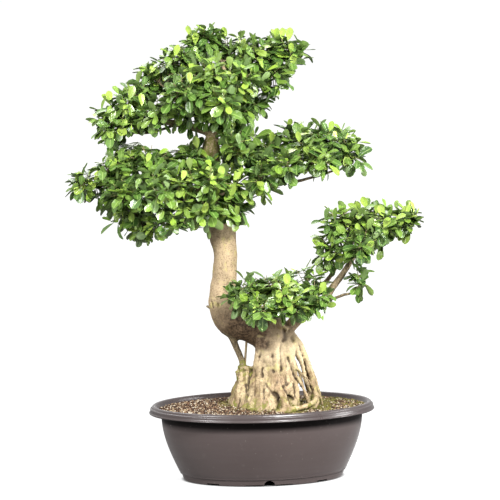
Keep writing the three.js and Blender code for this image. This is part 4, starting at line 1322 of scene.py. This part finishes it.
def spray_tree(leaf_material, stem_material):
    """Puts leaf shapes on the leaf points and skins the shoots' lines."""
    tree = bpy.data.node_groups.new("leafy_spray", "GeometryNodeTree")
    tree.interface.new_socket("Geometry", in_out="OUTPUT", socket_type="NodeSocketGeometry")
    socket(tree, "Geometry", "NodeSocketGeometry")
    socket(tree, "Leaves", "NodeSocketCollection")
    socket(tree, "Leaf length", "NodeSocketFloat", 0.035)
    start = add_node(tree, "NodeGroupInput")
    size = named(tree, "leaf_size")
    is_leaf = add_node(tree, "FunctionNodeCompare", {0: size, 1: 0.0}, data_type="FLOAT",
                       operation="GREATER_THAN")
    turned = add_node(tree, "FunctionNodeAxesToRotation", {
        0: named(tree, "leaf_axis", "FLOAT_VECTOR"), 1: named(tree, "leaf_face", "FLOAT_VECTOR")},
        primary_axis="Y", secondary_axis="Z")
    shapes = add_node(tree, "GeometryNodeCollectionInfo", {
        "Collection": start.outputs["Leaves"], "Separate Children": True, "Reset Children": True})
    scale = add_node(tree, "ShaderNodeMath", {0: size, 1: start.outputs["Leaf length"]}, operation="MULTIPLY")
    placed = add_node(tree, "GeometryNodeInstanceOnPoints", {
        "Points": start.outputs["Geometry"], "Selection": is_leaf.outputs[0], "Instance": shapes.outputs[0],
        "Pick Instance": True, "Instance Index": named(tree, "leaf_kind", "INT"),
        "Rotation": turned.outputs[0], "Scale": scale.outputs[0]})
    real = add_node(tree, "GeometryNodeRealizeInstances", {"Geometry": placed.outputs[0]})
    leaves = add_node(tree, "GeometryNodeSetMaterial", {
        "Geometry": real.outputs[0], "Material": leaf_material})
    lines = add_node(tree, "GeometryNodeMeshToCurve", {"Mesh": start.outputs["Geometry"]})
    thick = add_node(tree, "GeometryNodeSetCurveRadius", {
        "Curve": lines.outputs[0], "Radius": named(tree, "stem_radius")})
    ring = add_node(tree, "GeometryNodeCurvePrimitiveCircle", {"Resolution": 5, "Radius": 1.0})
    skin = add_node(tree, "GeometryNodeCurveToMesh", {
        "Curve": thick.outputs[0], "Profile Curve": ring.outputs[0], "Scale": named(tree, "stem_radius"),
        "Fill Caps": True})
    round_stem = add_node(tree, "GeometryNodeSetShadeSmooth", {"Geometry": skin.outputs[0]})
    stems = add_node(tree, "GeometryNodeSetMaterial", {
        "Geometry": round_stem.outputs[0], "Material": stem_material})
    joined = add_node(tree, "GeometryNodeJoinGeometry")
    tree.links.new(stems.outputs[0], joined.inputs[0])
    tree.links.new(leaves.outputs[0], joined.inputs[0])
    add_node(tree, "NodeGroupOutput", {0: joined.outputs[0]})
    return tree


def leaf_finish():
    """Waxy leaf: dark to fresh green, pale midrib and veins, duller grey-green below."""
    material, tree, shader = new_material("ficus_leaf")
    marks = add_node(tree, "ShaderNodeUVMap", uv_map="UVMap").outputs[0]
    split = add_node(tree, "ShaderNodeSeparateXYZ", {0: marks})
    below = maths(tree, "GREATER_THAN", split.outputs[0], 1.5)
    across = maths(tree, "SUBTRACT", split.outputs[0], maths(tree, "MULTIPLY", below, 2.0))
    off_middle = maths(tree, "ABSOLUTE", maths(tree, "SUBTRACT", across, 0.5))
    along = split.outputs[1]
    tone = attribute(tree, "tone")
    youth = attribute(tree, "youth")
    here = places(tree)
    old = ramp(tree, tone, [
        (0.0, colour(0.030, 0.075, 0.014)), (0.35, colour(0.080, 0.165, 0.024)),
        (0.7, colour(0.145, 0.240, 0.040)), (1.0, colour(0.270, 0.360, 0.060))])
    fresh = ramp(tree, youth, [
        (0.0, colour(0.16, 0.29, 0.03)), (0.5, colour(0.29, 0.44, 0.05)), (1.0, colour(0.46, 0.60, 0.12))])
    blade = mix(tree, spread(tree, youth, 0.02, 0.35), old, fresh)
    clouds = cloud(tree, here, 120.0, 2.0)
    blade = mix(tree, spread(tree, clouds, 0.3, 0.7, 0.0, 0.30), blade, colour(0.02, 0.07, 0.012))
    slant = maths(tree, "SUBTRACT", along, maths(tree, "MULTIPLY", off_middle, 0.55))
    veins = maths(tree, "SINE", maths(tree, "MULTIPLY", slant, 75.0))
    vein = spread(tree, veins, 0.75, 1.0, 0.0, 0.30)
    pale = mix(tree, 0.5, blade, colour(0.36, 0.52, 0.14))
    blade = mix(tree, vein, blade, pale)
    rib = spread(tree, off_middle, 0.055, 0.018)
    stalk = spread(tree, along, 0.16, 0.10)
    rib = maths(tree, "MAXIMUM", rib, stalk)
    blade = mix(tree, maths(tree, "MULTIPLY", rib, 0.65), blade, colour(0.33, 0.46, 0.13))
    margin = spread(tree, off_middle, 0.44, 0.50, 0.0, 0.35)
    blade = mix(tree, margin, blade, pale)
    dull = mix(tree, 0.55, blade, colour(0.16, 0.24, 0.085))
    blade = mix(tree, below, blade, dull)
    tree.links.new(blade, shader.inputs["Base Color"])
    tree.links.new(spread(tree, below, 0.0, 1.0, 0.27, 0.5), shader.inputs["Roughness"])
    relief = maths(tree, "ADD", maths(tree, "MULTIPLY", rib, -1.0), maths(tree, "MULTIPLY", vein, -0.5))
    tree.links.new(bump(tree, relief, 0.5, 0.0006), shader.inputs["Normal"])
    shader.inputs["Specular IOR Level"].default_value = 0.75
    return material


def stem_finish():
    """Young shoots, green turning brown."""
    material, tree, shader = new_material("young_stem")
    here = places(tree)
    shade = mix(tree, cloud(tree, here, 60.0, 3.0), colour(0.10, 0.115, 0.035), colour(0.26, 0.20, 0.09))
    tree.links.new(shade, shader.inputs["Base Color"])
    tree.links.new(spread(tree, cloud(tree, here, 200.0), 0.3, 0.7, 0.5, 0.75), shader.inputs["Roughness"])
    tree.links.new(bump(tree, cloud(tree, here, 500.0), 0.3, 0.0004), shader.inputs["Normal"])
    return material


# How near sprays join, in millimetres, how far shoots stay clear of the middle, and tries for a spray.
LINK_REACH = 118.0
CLEAR_SHARE = 0.78
TRIES = 420


def unit(vector):
    return vector / max(np.linalg.norm(vector), 1e-9)


def links_between(middles):
    """Pairs of neighbouring sprays, whose foliage closes up between them; each is also paired with itself."""
    pairs = [(i, i) for i in range(len(middles))]
    for i in range(len(middles)):
        for j in range(i):
            if np.linalg.norm(middles[i] - middles[j]) < LINK_REACH:
                pairs.append((i, j))
    return middles[[i for i, _ in pairs]], middles[[j for _, j in pairs]]


def distance_to_links(points, starts, ends):
    """How far each point is from the nearest link."""
    nearest = np.full(len(points), 1e9)
    for start, end in zip(starts, ends):
        way = end - start
        length = way @ way
        share = np.clip((points - start) @ way / length, 0, 1) if length > 0 else np.zeros(len(points))
        gap = np.linalg.norm(points - start - share[:, None] * way, axis=1)
        nearest = np.minimum(nearest, gap)
    return nearest


def shoot_tips(middles, reach, spacing, draw):
    """Places for shoot tips and the way out at each: over a pad's surface, and fewer inside it."""
    starts, ends = links_between(middles)
    count = TRIES * len(middles)
    pick = draw.integers(len(starts), size=count)
    share = draw.random(count)
    base = starts[pick] + (ends[pick] - starts[pick]) * share[:, None]
    ways = draw.normal(size=(count, 3))
    ways /= np.linalg.norm(ways, axis=1)[:, None]
    waist = np.where((starts[pick] == ends[pick]).all(axis=1), 1.0, 1 - 0.25 * np.sin(math.pi * share))
    far = reach * waist * draw.uniform(0.84, 1.14, count)
    outer = base + ways * far[:, None]
    outer_ok = distance_to_links(outer, starts, ends) > reach * CLEAR_SHARE * waist
    inner = base + ways * (reach * draw.uniform(0.0, 0.55, count))[:, None]
    kept, out = [], []
    for candidates, ok, gap in ((outer, outer_ok, spacing), (inner, np.ones(count, bool), spacing * 1.3)):
        for point, way in zip(candidates[ok], ways[ok]):
            if not kept or np.linalg.norm(np.array(kept) - point, axis=1).min() > gap:
                kept.append(point)
                out.append(way)
    return np.array(kept), np.array(out)


def wood_samples():
    """Samples of all the thicker wood, to keep leaves out of it."""
    limbs = [TRUNK, COLUMN, *ROOTS.values(), *BRANCHES.values()]
    lines = [limb_line(points, 8) for points in limbs]
    return np.vstack([line for line, _ in lines]), np.concatenate([radii for _, radii in lines])


# How many of a pad's shoots carry young leaves.
YOUNG_SHARE = {"crown": 0.20, "left": 0.14, "right": 0.24, "lower": 0.10, "outer": 0.26}
GOLDEN_ANGLE = math.radians(137.5)
LEAVES_ON_A_SHOOT = (6, 9)
LEAF_GAP = 3.6
FEWEST_LEAVES = 4
CLEAR_OF_WOOD = 1.5
INSIDE_BOX = 1.5


def fresh_shoots(tips, out, places_on_pad):
    """The shoot nearest to each fresh leaf's place, among those on the pad's outside towards the front."""
    found = {}
    for x, z in places_on_pad:
        off = np.hypot(tips[:, 0] - x, tips[:, 2] - z) + 30 * np.maximum(out[:, 1], 0) + 0.25 * tips[:, 1]
        for taken in found:
            off[taken] = 1e9
        found[int(np.argmin(off))] = (x, z)
    return found


def shoot_leaves(tip, way, young, fresh, buds, draw):
    """The leaves of one shoot, from its tip back: base, axis, face, size, kind, tone and youth."""
    count = int(draw.integers(*LEAVES_ON_A_SHOOT))
    first = draw.uniform(0, 2 * math.pi)
    tone = draw.uniform(0.10, 0.80)
    made = []
    for index in range(count):
        back = 1.0 + LEAF_GAP * index + draw.uniform(-0.8, 0.8)
        base = tip - way * back
        age = index / (count - 1)
        pitch = math.radians(46 + 48 * age ** 0.7 + draw.uniform(-14, 14))
        turn = first + index * GOLDEN_ANGLE + draw.uniform(-0.3, 0.3)
        side = unit(np.cross(way, [0.3, 0.2, 1.0]))
        up = np.cross(side, way)
        radial = math.cos(turn) * side + math.sin(turn) * up
        axis = unit(math.cos(pitch) * way + math.sin(pitch) * radial - np.array([0, 0, 0.12]))
        face = way * 0.6 + np.array([0, 0, 1.05]) + draw.normal(size=3) * 0.28
        size = (0.78 + 0.30 * min(age * 2.2, 1)) * draw.uniform(0.82, 1.12)
        kind = int(draw.integers(0, YOUNG_LEAF))
        youth = 0.0
        if young and index < 3:
            youth = draw.uniform(0.18, 0.72) * (1 - 0.20 * index)
            kind = YOUNG_LEAF if index < 2 else kind
        elif index == 0 and (buds or draw.random() < 0.30):
            kind, youth, size = BUD, draw.uniform(0.6, 1.0), 0.45
        elif draw.random() < 0.12:
            youth = draw.uniform(0.05, 0.30)
        if buds and index < 4:
            youth, size = draw.uniform(0.85, 1.0), draw.uniform(0.38, 0.55)
            kind = BUD if index % 2 else YOUNG_LEAF
        if fresh and index == 0:
            axis = unit(np.array([draw.uniform(-0.6, 0.6), draw.uniform(-0.5, 0.1), 1.0]))
            face = np.array([draw.uniform(-0.7, 0.7), -1.0, draw.uniform(0.1, 0.5)])
            kind, youth, size = YOUNG_LEAF, draw.uniform(0.62, 1.0), draw.uniform(0.66, 1.0)
        face = unit(face - axis * (face @ axis))
        leaf_tone = min(max(tone + draw.uniform(-0.30, 0.30) + 0.10 * (1 - age), 0), 1)
        made.append((base, axis, face, size, kind, leaf_tone, youth))
    return made


def leaf_fits(base, axis, face, size, length, wood, low, high, openings):
    """Whether a leaf stays within the solids' box, out of the wood and out of the pad's openings."""
    end = base + axis * length * size
    middle = base + axis * length * size * 0.55
    half = np.cross(axis, face) * length * size * 0.29
    corners = np.array([end, middle + half, middle - half, middle]) @ TURN.T
    if (corners < low).any() or (corners > high).any():
        return False
    for x, z, wide, tall in openings:
        if any(((place[0] - x) / wide) ** 2 + ((place[2] - z) / tall) ** 2 < 1 for place in (end, middle)):
            return False
    gaps = [(np.linalg.norm(wood[0] - place, axis=1) - wood[1]).min() for place in (end, middle)]
    return min(gaps) > CLEAR_OF_WOOD


def grow_pad(pad, sprays, twigs, wood, settings, draw):
    """The shoots and leaves of every spray in a pad: {name: [shoots]}, in millimetres."""
    names = [name for name, _ in sprays if name not in LONE]
    middles = np.array([middle for name, middle in sprays if name not in LONE])
    wide = np.vstack([middles, np.array(FILLING[pad], float)])
    reach, spacing = settings.reach / MM, settings.shoot_spacing / MM
    tips, outs = shoot_tips(wide, reach, spacing, draw)
    for name, middle in sprays:
        if name in LONE:
            alone = shoot_tips(np.array([middle]), reach * LONE[name], spacing, draw)
            tips, outs = np.vstack([tips, alone[0]]), np.vstack([outs, alone[1]])
            names.append(name)
            middles = np.vstack([middles, middle])
    strays = np.array(STRAYS[pad], float)
    nearest = [np.argmin(np.linalg.norm(middles - stray, axis=1)) for stray in strays]
    tips, outs = np.vstack([tips, strays]), np.vstack([outs, [unit(v) for v in strays - middles[nearest]]])
    fresh = fresh_shoots(tips, outs, FRESH_LEAVES[pad])
    budding = fresh_shoots(tips, outs, YELLOW_BUDS[pad])
    low, high = np.array(CAD_BOX[0]) / MM + INSIDE_BOX, np.array(CAD_BOX[1]) / MM - INSIDE_BOX
    length = settings.leaf_length / MM
    limbs = twig_starts(pad)[0]
    grown = {name: [] for name in names}
    for index, (tip, out) in enumerate(zip(tips, outs)):
        owner = int(np.argmin(np.linalg.norm(middles - tip, axis=1)))
        twig = np.array([point[:3] for point in twigs[names[owner]]])
        under = max(-out[2], 0)
        way = unit(out + np.array([0, 0, 0.45 - 0.25 * under]) + draw.normal(size=3) * 0.25)
        share = np.linspace(0.2, 1.0, 9)[:, None]
        roots = np.vstack([twig[1] + (twig[3] - twig[1]) * share, limbs])
        root = roots[np.argmin(np.linalg.norm(roots - tip + way * 14, axis=1))]
        bend = root + (tip - root) * 0.5 - way * 0.2 * np.linalg.norm(tip - root)
        line = [(1 - t) ** 2 * root + 2 * t * (1 - t) * bend + t * t * tip for t in np.linspace(0, 1, 6)]
        end_way = unit(0.5 * unit(line[-1] - line[-2]) + way)
        line.append(tip + end_way * 2)
        young = draw.random() < YOUNG_SHARE[pad] * (1.6 if out[2] > 0.3 else 0.55)
        leaves = shoot_leaves(tip, end_way, young, index in fresh, index in budding, draw)
        fitting = [leaf for leaf in leaves if leaf_fits(*leaf[:4], length, wood, low, high, OPENINGS[pad])]
        if len(fitting) >= FEWEST_LEAVES:
            grown[names[owner]].append({"line": line, "leaves": fitting})
    return grown


# What the points of a spray keep for its tree of nodes.
STORED = {
    "leaf_axis": "FLOAT_VECTOR", "leaf_face": "FLOAT_VECTOR", "leaf_size": "FLOAT", "leaf_kind": "INT",
    "tone": "FLOAT", "youth": "FLOAT", "stem_radius": "FLOAT",
}


def spray_source(name, shoots):
    """A mesh of the shoots' lines and leaf points, with what the tree of nodes needs kept on them."""
    points, edges = [], []
    stored = {key: [] for key in STORED}

    def add(place, axis=(0, 1, 0), face=(0, 0, 1), size=0.0, kind=0, tone=0.5, youth=0.0, radius=0.0):
        points.append(place)
        for key, value in zip(stored, (axis, face, size, kind, tone, youth, radius)):
            stored[key].append(value)

    for shoot in shoots:
        first = len(points)
        for index, place in enumerate(shoot["line"]):
            add(place, radius=(1.35 - 0.75 * index / (len(shoot["line"]) - 1)) * MM)
        edges += [(k, k + 1) for k in range(first, len(points) - 1)]
    for shoot in shoots:
        for base, axis, face, size, kind, tone, youth in shoot["leaves"]:
            add(base, axis @ TURN.T, face @ TURN.T, size, kind, tone, youth)
    mesh = bpy.data.meshes.new(name)
    mesh.from_pydata((np.array(points) @ TURN.T * MM).tolist(), edges, [])
    for key, values in stored.items():
        store(mesh, key, values, STORED[key])
    return new_object(name, mesh)


class MakeSprays(bpy.types.Operator):
    """Grows the leafy sprays, each in the place of its solid"""
    bl_idname = "bonsai.make_sprays"
    bl_label = "Grow the leafy sprays"

    def execute(self, context):
        settings = context.scene.bonsai_sprays
        nodes = spray_nodes()
        twigs = spray_twigs()
        wood = wood_samples()
        leaves = gather("leaf", [leaf_mesh(f"leaf_{k}", *shape) for k, shape in enumerate(LEAF_SHAPES)])
        tree = spray_tree(leaf_finish(), stem_finish())
        for number, pad in enumerate(YOUNG_SHARE):
            draw = np.random.default_rng(settings.seed + number)
            sprays = [(name, middle) for name, middle in nodes if name.startswith(pad + "_")]
            for name, shoots in grow_pad(pad, sprays, twigs, wood, settings, draw).items():
                source = spray_source(name + "_source", shoots)
                grown = run_nodes(source, tree, "leafy_" + name, leaves=leaves,
                                  leaf_length=settings.leaf_length)
                piece(grown, "leaves", name)
        scrap(leaves)
        return {"FINISHED"}


# Stage

CAMERA = (-0.6272, -5.9671, 1.050)
AIM = (-0.01989, 0.00209, 0.515)
CAMERA_ROLL = math.radians(1.1)
SENSOR = 36.0
FOCAL_PIXELS = 2680
PICTURE_PIXELS = 500
LENS = FOCAL_PIXELS / PICTURE_PIXELS * SENSOR
LIGHTS_AIM = (0, 0, 0.5)
# The lights: place, size, and share of the main light's strength.
LIGHTS = {
    "key": ((1.15, -3.38, 2.70), (0.8, 0.8), 1.0),
    "left": ((-2.7, -2.4, 1.9), (1.2, 1.2), 0.44),
    "right": ((3.2, -0.9, 1.0), (0.8, 1.4), 0.34),
    "back": ((-0.5, 2.2, 3.0), (2.0, 1.6), 0.20),
}


def area_light(name, place, aim, size, power):
    light = bpy.data.lights.new(name, "AREA")
    light.shape = "RECTANGLE"
    light.size, light.size_y = size
    light.energy = power
    made = bpy.data.objects.new(name, light)
    made.location = place
    made.rotation_euler = (Vector(aim) - Vector(place)).to_track_quat("-Z", "Y").to_euler()
    bpy.context.scene.collection.objects.link(made)


class MakeStage(bpy.types.Operator):
    """Makes the pale floor, the soft studio light and the camera"""
    bl_idname = "bonsai.make_stage"
    bl_label = "Make the stage"

    def execute(self, context):
        settings = context.scene.bonsai_stage
        scene = context.scene
        half = settings.floor_size / 2
        mesh = bpy.data.meshes.new("floor")
        mesh.from_pydata([(-half, -half, 0), (half, -half, 0), (half, half, 0), (-half, half, 0)], [],
                         [(0, 1, 2, 3)])
        material, tree, shader = new_material("pale_floor")
        here = places(tree)
        shade = mix(tree, cloud(tree, here, 3.0), colour(0.15, 0.15, 0.15), colour(0.17, 0.17, 0.17))
        tree.links.new(shade, shader.inputs["Base Color"])
        shader.inputs["Roughness"].default_value = 0.9
        shader.inputs["Specular IOR Level"].default_value = 0.1
        pot = scene.bonsai_pot
        far = add_node(tree, "ShaderNodeVectorMath", {0: here}, operation="LENGTH").outputs[1]
        footprint = places(tree, (2 / pot.foot_length, 2 / pot.foot_width, 1))
        beside = add_node(tree, "ShaderNodeVectorMath", {0: footprint}, operation="LENGTH").outputs[1]
        open_floor = spread(tree, beside, 0.975, 1.02)
        seen = add_node(tree, "ShaderNodeLightPath").outputs["Is Camera Ray"]
        glow = maths(tree, "MULTIPLY", spread(tree, far, 0.6, 6.0, 0.82, 0.97), open_floor)
        shader.inputs["Emission Color"].default_value = colour(1.0, 1.0, 1.0)
        tree.links.new(maths(tree, "MULTIPLY", glow, seen), shader.inputs["Emission Strength"])
        new_object("floor", mesh, material)
        world = bpy.data.worlds.new("studio")
        scene.world = world
        world.use_nodes = True
        sky = world.node_tree
        way = add_node(sky, "ShaderNodeTexCoord").outputs["Generated"]
        rise = add_node(sky, "ShaderNodeSeparateXYZ", {0: way}).outputs[2]
        around = spread(sky, rise, -0.05, 0.55, settings.horizon, settings.ceiling)
        seen = add_node(sky, "ShaderNodeLightPath").outputs["Is Camera Ray"]
        bright = spread(sky, seen, 0.0, 1.0, around, 1.02)
        background = sky.nodes["Background"]
        background.inputs["Color"].default_value = colour(1.0, 1.0, 1.0)
        sky.links.new(bright, background.inputs["Strength"])
        for name, (place, size, share) in LIGHTS.items():
            area_light(name, place, LIGHTS_AIM, size, settings.key_power * share)
        camera = bpy.data.objects.new("camera", bpy.data.cameras.new("camera"))
        scene.collection.objects.link(camera)
        ahead = (Vector(AIM) - Vector(CAMERA)).normalized()
        right = ahead.cross(Vector((0, 0, 1))).normalized()
        up = right.cross(ahead)
        across = right * math.cos(CAMERA_ROLL) - up * math.sin(CAMERA_ROLL)
        over = right * math.sin(CAMERA_ROLL) + up * math.cos(CAMERA_ROLL)
        turn = Matrix((across, over, -ahead)).transposed().to_4x4()
        camera.matrix_world = Matrix.Translation(CAMERA) @ turn
        camera.data.sensor_width = SENSOR
        camera.data.lens = LENS
        camera.data.clip_end = 100
        scene.camera = camera
        scene.view_settings.view_transform = "Standard"
        return {"FINISHED"}


class BonsaiPanel(bpy.types.Panel):
    """Lists the makers of the bonsai's pieces"""
    bl_idname = "VIEW3D_PT_bonsai"
    bl_label = "Ficus bonsai"
    bl_space_type = "VIEW_3D"
    bl_region_type = "UI"
    bl_category = "Bonsai"

    def draw(self, context):
        for operator in OPERATORS:
            self.layout.operator(operator.bl_idname)
        for name in SETTINGS:
            box = self.layout.box()
            settings = getattr(context.scene, name)
            for key in settings.__annotations__:
                box.prop(settings, key)


SETTINGS = {
    "bonsai_pot": PotSettings, "bonsai_soil": SoilSettings, "bonsai_wood": WoodSettings,
    "bonsai_sprays": SpraySettings, "bonsai_stage": StageSettings,
}
OPERATORS = (MakePot, MakeSoil, MakeWood, MakeSprays, MakeStage)


def register():
    for group in SETTINGS.values():
        bpy.utils.register_class(group)
    for name, group in SETTINGS.items():
        setattr(bpy.types.Scene, name, PointerProperty(type=group))
    for operator in OPERATORS:
        bpy.utils.register_class(operator)
    bpy.utils.register_class(BonsaiPanel)


def unregister():
    bpy.utils.unregister_class(BonsaiPanel)
    for operator in reversed(OPERATORS):
        bpy.utils.unregister_class(operator)
    for name in SETTINGS:
        delattr(bpy.types.Scene, name)
    for group in SETTINGS.values():
        bpy.utils.unregister_class(group)


def main():
    register()
    bpy.ops.bonsai.make_pot()
    bpy.ops.bonsai.make_soil()
    bpy.ops.bonsai.make_wood()
    bpy.ops.bonsai.make_sprays()
    bpy.ops.bonsai.make_stage()


if __name__ == "__main__":
    main()
